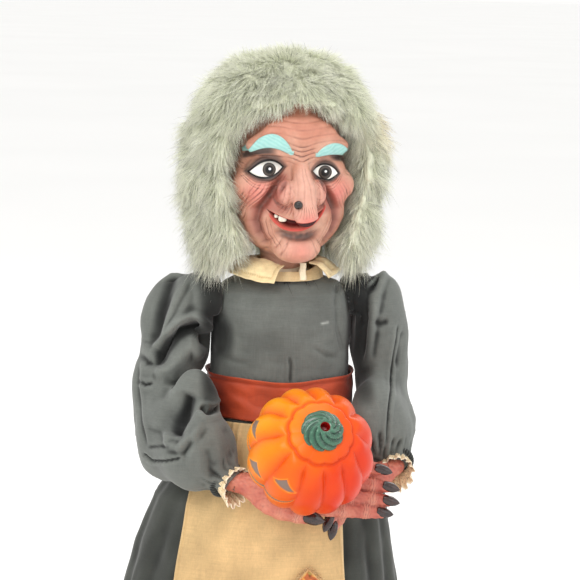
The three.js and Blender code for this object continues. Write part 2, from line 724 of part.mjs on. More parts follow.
// ---- Pumpkin, in its own frame: the stem along +Z and the face towards -Y ----
function pumpkinParts() {
  const arc = (radius, height, holeTop, holeBottom) => {
    const from = Math.acos(holeTop / radius);
    const to = -Math.acos(holeBottom / radius);
    const steps = 9;
    return [...Array(steps + 1).keys()].map((i) => {
      const angle = from + ((to - from) * i) / steps;
      return [radius * Math.cos(angle), height * Math.sin(angle)];
    });
  };
  const outside = arc(PUMPKIN_R, PUMPKIN_H, 9, 13.5);
  const inside = arc(PUMPKIN_R - WALL, PUMPKIN_H - WALL, 9, 13.5).reverse();
  add(pumpkin, "pumpkin_shell", turned([...outside, ...inside], 18), "pumpkin");

  const top = PUMPKIN_H;
  const stem = turned(
    [
      [2.6, top - 4],
      [8.5, top - 4],
      [8.5, top + 0.4],
      [14.5, top - 1.2],
      [14, top + 3.5],
      [8, top + 7],
      [2.6, top + 7],
    ],
    16,
  );
  add(pumpkin, "pumpkin_stem", stem.subtract(spheroid(GAP)), "stem");

  const holder = turned(
    [
      [0, -top - 0.5],
      [15, -top - 0.5],
      [15, -top + 1.5],
      [12.9, -top + 1.5],
      [12.9, -top + 8],
      [7, -top + 8],
      [7, -top + 22],
      [5, -top + 22],
      [5, -top + 12],
      [0, -top + 12],
    ],
    18,
  );
  const body = holder.subtract(spheroid(0.6).subtract(rod([0, 0, -60], [0, 0, 0], 12.9)));
  add(pumpkin, "pumpkin_lampholder", body, "blackPlastic");
  const bulb = join(
    rod([0, 0, -top + 12 + GAP], [0, 0, -top + 26], 4.7, 12),
    ball([0, 0, -top + 31], [8, 8, 9], 14, 10),
  );
  add(pumpkin, "pumpkin_bulb", bulb, "bulb");
}

// The pumpkin's wall, grown a little on both sides.
function spheroid(by) {
  const full = (extra) =>
    ball([0, 0, 0], [PUMPKIN_R + extra, PUMPKIN_R + extra, PUMPKIN_H + extra], 18, 18);
  const inner = full(-WALL - by);
  return cut(full(by), inner, rod([0, 0, 0], [0, 0, 80], 8.5), rod([0, 0, -80], [0, 0, 0], 13));
}

// ---- Dress, waistband, apron, patch and collar ----
const BAND = { bottom: 309, top: 341 };

function clothes() {
  const bodiceLevels = between(TORSO, BAND.bottom + 1, 422).filter(([z]) => z !== 320);
  const armholes = rod([-90, 0, SHOULDER_Z], [90, 0, SHOULDER_Z], 14);
  add(stand, "bodice", ovalTube(bodiceLevels, 1.1, 1.1 + CLOTH).subtract(armholes), "darkCloth");
  add(stand, "skirt", ovalTube(SKIRT, -CLOTH, 0, 24), "darkCloth");
  const band = [
    [BAND.bottom, 58.5, 45],
    [320, 59, 45.5],
    [BAND.top, 58, 44.5],
  ];
  add(stand, "waistband", ovalTube(band, 1, 1 + CLOTH), "orangeCloth");

  const sheet = ovalTube(SKIRT, GAP + 0.1, GAP + 1.5, 24);
  const apron = frontPrism(
    [
      [-60, 306.5],
      [-79, 240],
      [-90, 170],
      [-102, 72],
      [57, 72],
      [49, 170],
      [45, 240],
      [42, 306.5],
    ],
    -10,
    160,
  );
  add(stand, "apron", sheet.intersect(apron), "apronCloth");
  const patch = frontPrism(
    [
      [17, 152],
      [39, 174],
      [17, 196],
      [-5, 174],
    ],
    -10,
    160,
  );
  add(stand, "apron_patch", ovalTube(SKIRT, 2.1, 2.9, 24).intersect(patch), "patchCloth");

  const collar = turned([
    [25, 426.5],
    [47, 420],
    [48, 421.5],
    [27, 430.5],
    [24.5, 432],
    [23, 430],
  ]);
  add(stand, "collar", collar.subtract(oval(grown(runPast(TORSO, 1, 1), 3.2))), "creamCloth");
}

base();
cordGrommet();
powerSwitch();
legs();
torso();
bushes();
drive();
headParts();
wig();
armParts();
hands();
sleeves();
pumpkinParts();
clothes();

export default figure;
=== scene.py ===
"""The looks of an animated witch figure: a vinyl head, a fur wig, a cloth dress, and a pumpkin in its hands.

Shapes are worked out in millimetres in the CAD part's frame: +Z up, the figure faces -Y, its left is at +X.
"""

import json
import math

import bmesh
import bpy
import numpy as np
from mathutils import Matrix, Vector

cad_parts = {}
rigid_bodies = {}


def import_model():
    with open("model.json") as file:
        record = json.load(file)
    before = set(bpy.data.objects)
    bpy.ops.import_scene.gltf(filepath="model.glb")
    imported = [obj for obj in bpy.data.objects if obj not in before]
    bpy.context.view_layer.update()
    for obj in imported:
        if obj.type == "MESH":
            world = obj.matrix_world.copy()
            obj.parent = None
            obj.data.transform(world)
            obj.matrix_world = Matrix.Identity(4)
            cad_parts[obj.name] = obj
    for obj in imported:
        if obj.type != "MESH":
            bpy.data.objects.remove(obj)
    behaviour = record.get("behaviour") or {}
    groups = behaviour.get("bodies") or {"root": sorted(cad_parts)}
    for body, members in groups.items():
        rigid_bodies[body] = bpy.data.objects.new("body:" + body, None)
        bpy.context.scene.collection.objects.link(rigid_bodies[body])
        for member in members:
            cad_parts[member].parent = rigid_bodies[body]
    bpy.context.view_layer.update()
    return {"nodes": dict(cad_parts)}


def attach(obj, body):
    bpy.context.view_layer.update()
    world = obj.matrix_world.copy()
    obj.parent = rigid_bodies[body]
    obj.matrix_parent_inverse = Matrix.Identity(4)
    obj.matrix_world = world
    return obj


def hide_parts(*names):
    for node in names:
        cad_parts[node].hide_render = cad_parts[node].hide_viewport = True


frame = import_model()

MM = 0.001
HEAD_TURNED = math.radians(7)
SHOULDER_Z = 392
PUMPKIN_CENTRE = np.array([8.0, -126.0, 304.0])
PUMPKIN_STEM = np.array([0.087, -0.822, 0.562])
PUMPKIN_FACE = np.array([-0.808, -0.388, -0.442])

# Height, half width, half depth and shift in x of the skirt, from the hem up.
SKIRT = np.array([
    [14, 148, 134, -16],
    [80, 134, 110, -14],
    [150, 120, 88, -12],
    [200, 109, 74, -9],
    [240, 97, 63, -5],
    [258, 84, 59, -3],
    [276, 69, 54, -1],
    [308, 62, 46, 0],
], float)
# Height, half width and half depth of the bodice, squarer at its shoulders than the torso under it.
BODICE = np.array([
    [300.5, 56.9, 43.9],
    [320, 57.4, 44.9],
    [345, 56.9, 43.9],
    [385, 57.4, 44.9],
    [400, 57.2, 42],
    [410, 55, 36],
    [417, 47, 29],
    [421, 37, 24],
    [423, 27, 21.9],
], float)


# ---- Numbers ----
def unit(v):
    v = np.asarray(v, float)
    return v / np.linalg.norm(v)


def unit_rows(v):
    """Directions of length 1, row by row."""
    return v / np.linalg.norm(v, axis=1)[:, None]


def clamp(x, low=0.0, high=1.0):
    return np.minimum(np.maximum(x, low), high)


def ramp(x, start, end):
    """0 before start, 1 after end, and smooth between them."""
    t = clamp((x - start) / (end - start))
    return t * t * (3 - 2 * t)


def bell(x, width):
    return np.exp(-((x / width) ** 2))


def groove(phase, sharp=3.0):
    """A repeated narrow groove: 1 in its middle and near 0 between two."""
    return (0.5 + 0.5 * np.cos(2 * np.pi * phase)) ** sharp


def waves(points, size, seed, count=14, stretch=(1, 1, 1)):
    """Smooth noise, about -1 to 1, of this size in millimetres, longer along axes with a larger stretch."""
    rng = np.random.default_rng(seed)
    total = np.zeros(len(points))
    scaled = points / (np.asarray(stretch, float) * size)
    for _ in range(count):
        way = rng.normal(size=3)
        way *= rng.uniform(0.6, 1.5) * 2 * np.pi / np.linalg.norm(way)
        total += np.sin(scaled @ way + rng.uniform(0, 2 * np.pi))
    return total / math.sqrt(count / 2) / 1.6


def levels_at(levels, z):
    return [np.interp(z, levels[:, 0], column) for column in levels.T[1:]]


# ---- Distance fields, in millimetres, negative inside ----
def blend_min(a, b, k):
    h = clamp(0.5 + 0.5 * (b - a) / k)
    return b + (a - b) * h - k * h * (1 - h)


def blend_max(a, b, k):
    return -blend_min(-a, -b, k)


def ellipsoid(p, centre, radii):
    q = (p - np.asarray(centre, float)) / np.asarray(radii, float)
    k0 = np.sqrt((q * q).sum(1)) + 1e-9
    q = q / np.asarray(radii, float)
    k1 = np.sqrt((q * q).sum(1)) + 1e-9
    return k0 * (k0 - 1) / k1


def capsule(p, a, b, ra, rb=None):
    """A rod with round ends, with a radius at each end."""
    rb = ra if rb is None else rb
    a = np.asarray(a, float)
    way = np.asarray(b, float) - a
    t = clamp(((p - a) @ way) / (way @ way))
    near = p - a - t[:, None] * way
    return np.sqrt((near * near).sum(1)) - (ra + (rb - ra) * t)


def chain(p, points, radii, k=1.5):
    """A bent rod through the points."""
    made = None
    for i in range(len(points) - 1):
        part = capsule(p, points[i], points[i + 1], radii[i], radii[i + 1])
        made = part if made is None else blend_min(made, part, k)
    return made


def slope(field, p, h=0.3):
    """The field's direction of steepest rise at the points."""
    out = np.empty_like(p)
    for axis in range(3):
        step = np.zeros(3)
        step[axis] = h
        out[:, axis] = field(p + step) - field(p - step)
    return out / (np.sqrt((out * out).sum(1))[:, None] + 1e-9)


def net(field, low, high, step):
    """Vertices and quads of the field's zero surface between two corners (naive surface nets)."""
    axes = [np.arange(a, b + step, step) for a, b in zip(low, high)]
    grid = np.stack(np.meshgrid(*axes, indexing="ij"), -1)
    shape = grid.shape[:3]
    flat = grid.reshape(-1, 3)
    values = np.concatenate([field(part) for part in np.array_split(flat, 1 + len(flat) // 400000)])
    values = values.reshape(shape)
    cell_shape = tuple(n - 1 for n in shape)
    total = np.zeros(cell_shape + (3,))
    hits = np.zeros(cell_shape)
    crossings = []
    for axis in range(3):
        first = [slice(None)] * 3
        second = [slice(None)] * 3
        first[axis] = slice(0, -1)
        second[axis] = slice(1, None)
        a, b = values[tuple(first)], values[tuple(second)]
        cross = (a < 0) != (b < 0)
        t = np.where(cross, a / np.where(cross, a - b, 1), 0)
        place = grid[tuple(first)].copy()
        place[..., axis] += t * step
        place *= cross[..., None]
        u, v = [k for k in range(3) if k != axis]
        for du in (0, 1):
            for dv in (0, 1):
                part = [slice(None)] * 3
                part[u] = slice(du, shape[u] - 1 + du)
                part[v] = slice(dv, shape[v] - 1 + dv)
                total += place[tuple(part)]
                hits += cross[tuple(part)]
        crossings.append((axis, u, v, cross, a < 0))
    used = hits > 0
    index = np.full(cell_shape, -1)
    index[used] = np.arange(used.sum())
    vertices = total[used] / hits[used][:, None]
    quads = []
    for axis, u, v, cross, inside in crossings:
        where = np.argwhere(cross)
        keep = (where[:, u] > 0) & (where[:, v] > 0)
        keep &= (where[:, u] < shape[u] - 1) & (where[:, v] < shape[v] - 1)
        where = where[keep]
        corners = []
        for du, dv in ((1, 1), (0, 1), (0, 0), (1, 0)):
            cell = where.copy()
            cell[:, u] -= du
            cell[:, v] -= dv
            corners.append(index[tuple(cell.T)])
        quad = np.stack(corners, 1)
        flip = inside[tuple(where.T)] == (axis == 1)
        quad[flip] = quad[flip][:, ::-1]
        quads.append(quad)
    return vertices, np.concatenate(quads)


def settle(field, p, steps=3):
    """Moves points onto the field's zero surface and returns them with their outward directions."""
    for _ in range(steps):
        p = p - field(p)[:, None] * slope(field, p) * 0.9
    return p, slope(field, p)


# ---- Meshes ----
def mesh_object(name, vertices, faces, smooth=True):
    """A mesh object from millimetres. faces is an array, or a list of arrays of unlike corner counts."""
    groups = [np.asarray(f) for f in (faces if isinstance(faces, list) else [faces]) if len(f)]
    mesh = bpy.data.meshes.new(name)
    loops = np.concatenate([g.ravel() for g in groups]).astype(np.int32)
    sizes = np.concatenate([np.full(len(g), g.shape[1]) for g in groups])
    starts = np.concatenate([[0], np.cumsum(sizes)[:-1]]).astype(np.int32)
    mesh.vertices.add(len(vertices))
    mesh.vertices.foreach_set("co", (np.asarray(vertices, float) * MM).astype(np.float32).ravel())
    mesh.loops.add(len(loops))
    mesh.loops.foreach_set("vertex_index", loops)
    mesh.polygons.add(len(starts))
    mesh.polygons.foreach_set("loop_start", starts)
    mesh.update(calc_edges=True)
    mesh.validate()
    mesh.polygons.foreach_set("use_smooth", np.full(len(mesh.polygons), smooth))
    made = bpy.data.objects.new(name, mesh)
    bpy.context.scene.collection.objects.link(made)
    return made


def points_of(obj):
    out = np.empty(len(obj.data.vertices) * 3, np.float32)
    obj.data.vertices.foreach_get("co", out)
    return out.reshape(-1, 3).astype(float) / MM


def move_points(obj, points):
    obj.data.vertices.foreach_set("co", (points * MM).astype(np.float32).ravel())
    obj.data.update()


def linear(colour):
    """An sRGB colour, 0 to 255, as a linear one."""
    c = np.asarray(colour, float) / 255
    return np.where(c <= 0.04045, c / 12.92, ((c + 0.055) / 1.055) ** 2.4)


def all_over(colour, count):
    return np.tile(np.array(colour, float), (count, 1))


def paint(obj, colours):
    """Stores one sRGB colour, 0 to 255, for each vertex."""
    layer = obj.data.color_attributes.new("paint", "FLOAT_COLOR", "POINT")
    full = np.ones((len(colours), 4), np.float32)
    full[:, :3] = linear(colours)
    layer.data.foreach_set("color", full.ravel())


def finer(obj, wanted):
    """Splits the edges whose middle is where wanted(points) is true, once."""
    work = bmesh.new()
    work.from_mesh(obj.data)
    work.edges.ensure_lookup_table()
    middles = np.array([(e.verts[0].co + e.verts[1].co)[:] for e in work.edges]) / 2 / MM
    chosen = wanted(middles)
    edges = [e for e, yes in zip(work.edges, chosen) if yes]
    bmesh.ops.subdivide_edges(work, edges=edges, cuts=1, use_grid_fill=True)
    work.to_mesh(obj.data)
    work.free()
    obj.data.polygons.foreach_set("use_smooth", np.full(len(obj.data.polygons), True))


def normals_of(obj):
    out = np.empty(len(obj.data.vertices) * 3, np.float32)
    obj.data.vertices.foreach_get("normal", out)
    return out.reshape(-1, 3).astype(float)


def edges_of(obj):
    out = np.empty(len(obj.data.edges) * 2, np.int32)
    obj.data.edges.foreach_get("vertices", out)
    return out.reshape(-1, 2)


def spread(obj, values, rounds):
    """Averages values (one or more numbers for each vertex) over neighbours, this many times."""
    edges = edges_of(obj)
    count = np.bincount(edges.ravel(), minlength=len(values)).astype(float)
    values = np.asarray(values, float)
    shape = (-1,) + (1,) * (values.ndim - 1)
    for _ in range(rounds):
        total = np.zeros_like(values)
        np.add.at(total, edges[:, 0], values[edges[:, 1]])
        np.add.at(total, edges[:, 1], values[edges[:, 0]])
        values = 0.5 * values + 0.5 * total / np.maximum(count, 1).reshape(shape)
    return values


def hollowness(obj, rounds):
    """How far each vertex lies below the surface around it, in millimetres: positive in creases."""
    p = points_of(obj)
    return ((spread(obj, p, rounds) - p) * normals_of(obj)).sum(1)


# ---- Materials ----
class Nodes:
    """A short way to build a material's nodes."""

    def __init__(self, name):
        self.material = bpy.data.materials.new(name)
        self.material.use_nodes = True
        self.tree = self.material.node_tree
        self.tree.nodes.clear()
        self.output = self.tree.nodes.new("ShaderNodeOutputMaterial")
        self.shader = self.tree.nodes.new("ShaderNodeBsdfPrincipled")
        self.link(self.shader.outputs[0], self.output.inputs["Surface"])

    def link(self, a, b):
        self.tree.links.new(a, b)

    def put(self, target, value):
        if isinstance(value, bpy.types.NodeSocket):
            self.link(value, target)
        elif hasattr(value, "__len__") and len(value) == 3 and target.type == "RGBA":
            target.default_value = (*linear(value), 1)
        else:
            target.default_value = value

    def node(self, kind, settings=None, **inputs):
        made = self.tree.nodes.new("ShaderNode" + kind)
        for key, value in (settings or {}).items():
            setattr(made, key, value)
        for key, value in inputs.items():
            self.put(made.inputs[key.replace("_", " ")], value)
        return made

    def place(self, scale=(1, 1, 1), turn=(0, 0, 0)):
        """Object coordinates in metres, scaled and turned."""
        where = self.node("TexCoord").outputs["Object"]
        return self.node("Mapping", Vector=where, Scale=scale, Rotation=turn).outputs[0]

    def noise(self, scale, detail=3, rough=0.55, where=None):
        where = self.place() if where is None else where
        made = self.node("TexNoise", Vector=where, Scale=scale, Detail=detail, Roughness=rough)
        return made.outputs[0]

    def math(self, kind, a, b):
        made = self.node("Math", {"operation": kind})
        for socket, value in zip(made.inputs, (a, b)):
            self.put(socket, value)
        return made.outputs[0]

    def fit(self, value, low, high, to_low=0.0, to_high=1.0):
        made = self.node("MapRange", {"clamp": True})
        for socket, number in zip(list(made.inputs)[:5], (value, low, high, to_low, to_high)):
            self.put(socket, number)
        return made.outputs[0]

    def mix(self, amount, a, b, kind="MIX"):
        made = self.node("Mix", {"data_type": "RGBA", "blend_type": kind})
        self.put(made.inputs[0], amount)
        self.put(made.inputs[6], a)
        self.put(made.inputs[7], b)
        return made.outputs[2]

    def painted(self, tone):
        """The colour painted on the mesh, lighter or darker by this factor."""
        colour = self.node("Attribute", {"attribute_name": "paint"}).outputs["Color"]
        grey = self.node("CombineColor", Red=tone, Green=tone, Blue=tone).outputs[0]
        return self.mix(1.0, colour, grey, "MULTIPLY")

    def bump(self, height, strength, distance, after=None):
        made = self.node("Bump", Height=height, Strength=strength, Distance=distance)
        if after is not None:
            self.link(after, made.inputs["Normal"])
        return made.outputs[0]

    def finish(self, **inputs):
        for key, value in inputs.items():
            self.put(self.shader.inputs[key.replace("_", " ")], value)
        return self.material


def dress(obj, material):
    obj.data.materials.clear()
    obj.data.materials.append(material)


# ---- Head: one vinyl shell, sculpted in the head's own frame and then turned ----
def turn_head(p):
    c, s = math.cos(HEAD_TURNED), math.sin(HEAD_TURNED)
    return p @ np.array([[c, s, 0], [-s, c, 0], [0, 0, 1]])


def both_sides(p):
    """The points with their left and right halves folded together."""
    q = p.copy()
    q[:, 0] = np.abs(q[:, 0])
    return q


def head_field(p):
    q = both_sides(p)
    d = ellipsoid(q, (0, 6, 524), (46, 54, 62))
    d = blend_min(d, ellipsoid(q, (0, -12, 496), (48.5, 38, 40)), 14)
    d = blend_min(d, ellipsoid(q, (0, -18, 470), (39.5, 34, 30)), 14)
    d = blend_min(d, ellipsoid(q, (0, -43, 450), (19.5, 15.5, 12.5)), 7)
    d = blend_min(d, ellipsoid(q, (33.5, -30, 499), (16, 16.5, 14)), 6)
    d = blend_min(d, ellipsoid(q, (0, -44, 480), (22, 15, 14)), 10)
    d = blend_min(d, ellipsoid(q, (25, -38, 531), (17, 8, 8)), 10)
    d = blend_min(d, ellipsoid(q, (0, -44, 538), (30, 9, 16)), 10)
    d = blend_max(d, -ellipsoid(q, (25, -54, 512), (16.5, 11, 9.5)), 6)
    d = blend_min(d, ellipsoid(q, (24, -36, 512), (16, 12.5, 11)), 2.5)
    nose = capsule(q, (0, -48, 519), (0, -62, 497), 5.6, 9.2)
    nose = blend_min(nose, capsule(q, (0, -62, 497), (0.5, -69.5, 478.5), 9.2, 8.8), 4)
    wings = ellipsoid(q, (12.6, -55, 495), (7.4, 9.5, 10.5))
    nose = blend_min(nose, wings, 3)
    d = blend_min(d, nose, 3.2)
    # The neck comes out under the jaw.
    d = blend_min(d, capsule(q, (0, -2, 470), (0, -2, 441), 25, 19), 6)
    return d


MOUTH_LEFT, MOUTH_RIGHT = -26.5, 17.5
# Each eye: how far out its middle is, its half width, its height, its slant and its size.
EYE_RIGHT = (26.6, 13.0, 512.4, 2.2, 1.0)
EYE_LEFT = (21.3, 10.4, 510.4, 0.8, 0.9)
IRIS_RIGHT = (-25.0, 512.6)
IRIS_LEFT = (20.8, 510.6)


def mouth_edges(x):
    """The heights of the open mouth's upper and lower edges."""
    middle, half = (MOUTH_LEFT + MOUTH_RIGHT) / 2, (MOUTH_RIGHT - MOUTH_LEFT) / 2
    s = clamp(np.abs(x - middle) / half, 0, 1.2)
    return 473.0 + 8.5 * s ** 1.7, 466.8 + 14.7 * s ** 2.3


def mouth_gap(x, z):
    """Distance to the open mouth's outline in the front view, negative inside."""
    top, bottom = mouth_edges(x)
    side = np.maximum(MOUTH_LEFT - x, x - MOUTH_RIGHT)
    return np.maximum(np.maximum(z - top, bottom - z), side)


def eye_lens(x, z, side):
    """0 on an eye's almond outline, -1 in its middle, for the eye on this side."""
    middle, half, high, slant, size = EYE_RIGHT if side < 0 else EYE_LEFT
    s = (side * x - middle) / half
    dz = z - high + slant * s
    height = np.where(dz > 0, 7.0, 6.0) * size
    return np.abs(dz) / height + np.abs(s) ** 2.2 - 1


def polyline_distance(x, z, points):
    best = np.full(len(x), 1e9)
    p = np.stack([x, z], 1)
    for a, b in zip(points[:-1], points[1:]):
        a = np.array(a, float)
        way = np.array(b, float) - a
        t = clamp(((p - a) @ way) / (way @ way))
        near = p - a - t[:, None] * way
        best = np.minimum(best, np.sqrt((near * near).sum(1)))
    return best


# The deep fold on each side, from beside the nose to beside the chin.
FOLD = [(15, 507), (20, 499), (26, 490), (31.5, 481), (33, 471), (30, 461), (24.5, 453)]


def beyond_fold(ax, z):
    """How far outside the deep fold a place is."""
    return ax - np.interp(z, [place[1] for place in FOLD][::-1], [place[0] for place in FOLD][::-1])


# Where each brow starts and how long it is, its inner and outer heights, its arch and its half thickness.
BROW_RIGHT = (8.0, 32.0, 526.0, 526.5, 9.0, 5.7)
BROW_LEFT = (13.0, 33.0, 524.5, 521.5, 6.0, 4.8)


def brow_shape(x, z, side):
    """Distance into a painted brow, positive inside, in millimetres, and how far out along it."""
    start, length, inner, outer, arch, half = BROW_RIGHT if side < 0 else BROW_LEFT
    t = (side * x - start) / length
    s = clamp(t)
    middle = inner + (outer - inner) * s + 4 * arch * s * (1 - s)
    thick = 1.6 + (half - 1.6) * np.sin(np.pi * s ** 0.85) ** 0.7
    ends = np.minimum(t * length + 1.5, (1 - t) * length + 1.0)
    return np.minimum(thick - np.abs(z - middle), ends), t


def face_relief(p, n):
    """How far the face's creases, lids and lips rise from the smooth form, in millimetres."""
    x, y, z = p.T
    ax = np.abs(x)
    front = ramp(-n[:, 1], 0.05, 0.45) * ramp(-y, 5, 20)
    out = np.zeros(len(p))
    wobble = waves(p, 30, 3) * 0.8
    fine = waves(p, 5, 4) * 0.35

    # The deep folds from the nose to beside the chin, with the cheeks standing over them.
    d = polyline_distance(ax, z + 0.3 * wobble, FOLD)
    beyond = beyond_fold(ax, z)
    deep = ramp(z, 447, 460) * ramp(510 - z, 0, 10)
    out -= 4.4 * bell(d, 2.5) * deep
    out += 2.4 * bell(beyond - 6.5, 5) * deep * ramp(z, 452, 475)
    # Lines that follow the folds on the cheeks.
    lines = groove((beyond + 1.5 * wobble) / 3.3, 3) * ramp(beyond, 3, 7) * ramp(24 - beyond, 0, 6)
    out -= 1.0 * lines * ramp(z, 446, 456) * ramp(508 - z, 0, 14) * (0.65 + 0.35 * waves(p, 20, 5))
    lines = groove((-beyond + wobble) / 3.2, 4) * ramp(-beyond, 2, 4) * ramp(12 + beyond, 0, 4)
    out -= 0.8 * lines * ramp(z, 448, 455) * ramp(476 - z, 0, 6)

    # The forehead's lines, which dip towards the bridge of the nose.
    dip = 3.0 * bell(ax, 13) - 1.5 * bell(ax - 26, 14)
    rows = groove((z + dip + wobble) / 6.0, 3.0)
    forehead = ramp(z, 527, 533) * ramp(46 - ax, 0, 8) * (1 - 0.85 * ramp(brow_in(x, z), -0.5, 1.0))
    out -= 0.6 * rows * forehead * (0.75 + 0.25 * waves(p, 12, 6))
    between = ramp(z, 516, 521) * ramp(533 - z, 0, 4) * ramp(13 - ax, 0, 4)
    out -= 0.9 * groove((z + 2.2 * bell(ax, 7) + wobble) / 3.6, 3) * between

    # Lids round the painted eyes, with lines beneath them and at their outer corners.
    lens = np.minimum(eye_lens(x, z, 1), eye_lens(x, z, -1))
    out += 1.15 * bell(lens - 0.26, 0.17) * ramp(z, 500, 506)
    out -= 0.7 * bell(lens - 0.03, 0.09)
    crease = bell(z - 521.5 - 1.2 * np.sin((ax - 12) / 9), 1) * ramp(ax, 12, 17) * ramp(42 - ax, 0, 6)
    out -= 1.3 * crease
    bags = groove((lens + 0.04 * wobble) / 0.42 + 0.35, 4) * ramp(lens, 0.4, 0.7) * ramp(2.1 - lens, 0, 0.6)
    out -= 0.55 * bags * ramp(511 - z, 0, 5)
    crow = groove((np.arctan2(z - 512, ax - 30) + 0.05 * wobble) / 0.33, 4) * ramp(ax, 38, 41)
    out -= 0.6 * crow * ramp(9 - np.abs(z - 512), 0, 3)
    out += 0.9 * ramp(brow_in(x, z), -0.4, 0.8)

    # The nose: lines down its back, round its wings, and its nostrils.
    on_nose = ramp(-y, 54, 60)
    back = groove((x + 0.4 * wobble + 0.08 * (z - 500) * np.sign(x)) / 4.6 + 0.5, 3)
    out -= 0.38 * back * on_nose * ramp(z, 478, 486) * ramp(519 - z, 0, 6)
    ring = np.hypot(ax - 12.5, (z - 495) * 0.8)
    arcs = groove((ring + 0.5 * wobble) / 3.6, 4) * ramp(ax, 6, 9) * ramp(-y, 47, 53)
    out -= 0.25 * arcs * ramp(z, 484, 488) * ramp(502 - z, 0, 6)
    out -= 1.2 * bell(ring - 9.6, 1.2) * ramp(-y, 44, 50) * ramp(ax, 9, 12) * ramp(503 - z, 0, 7)

    # The mouth is a hollow with full lips, and the chin has lines that run out from it.
    gap = mouth_gap(x, z)
    top, bottom = mouth_edges(x)
    lower = ramp(bottom + 0.5 - z, 0, 1) * ramp(26 - ax, 0, 6)
    upper = ramp(z - top + 0.5, 0, 1) * ramp(26 - ax, 0, 6)
    out += 1.3 * bell(gap - 1.7, 1.4) * lower + 0.6 * bell(gap - 1.0, 1.0) * upper
    out -= 5.5 * ramp(-gap, -0.3, 1.0)
    out -= 2.4 * bell((z - 459.5 - 0.012 * ax ** 2) / 2.4, 1) * ramp(21 - ax, 0, 8)
    turn = np.arctan2(x, 480 - z)
    rays = groove((turn + 0.05 * wobble) / 0.19, 3.5)
    out -= 0.8 * rays * ramp(460 - z, 0, 4) * ramp(z, 441, 446) * ramp(ax, 5, 11) * ramp(30 - ax, 0, 8)
    bows = groove((np.hypot(x, (z - 447) * 1.25) + wobble) / 3.8, 4)
    out -= 0.3 * bows * ramp(458 - z, 0, 3) * ramp(ax, 8, 13) * ramp(24 - ax, 0, 6)
    rays = groove((np.arctan2(x + 2, 500 - z) + 0.03 * wobble) / 0.11, 3)
    out -= 0.45 * rays * ramp(z - top, 2.5, 4) * ramp(490 - z, 0, 6) * ramp(22 - ax, 0, 6)

    # Long lines down the sides of the face.
    sides = groove((ax + 0.25 * (z - 480) * 0.6 + 1.2 * wobble) / 4.6, 4)
    out -= 0.6 * sides * ramp(ax, 36, 40) * ramp(z, 455, 470) * ramp(504 - z, 0, 14)
    return (out + 0.10 * fine) * front


def brow_in(x, z):
    return np.maximum(brow_shape(x, z, 1)[0], brow_shape(x, z, -1)[0])


SKIN = (190, 134, 112)
SKIN_PALE = (208, 160, 138)
CREASE_WASH_AND_SHADE = (104, 66, 56)
BLUSH = (214, 104, 98)
NOSE_PINK = (212, 160, 142)


def mixed(a, b, amount):
    return a + (np.asarray(b, float) - a) * clamp(amount)[:, None]


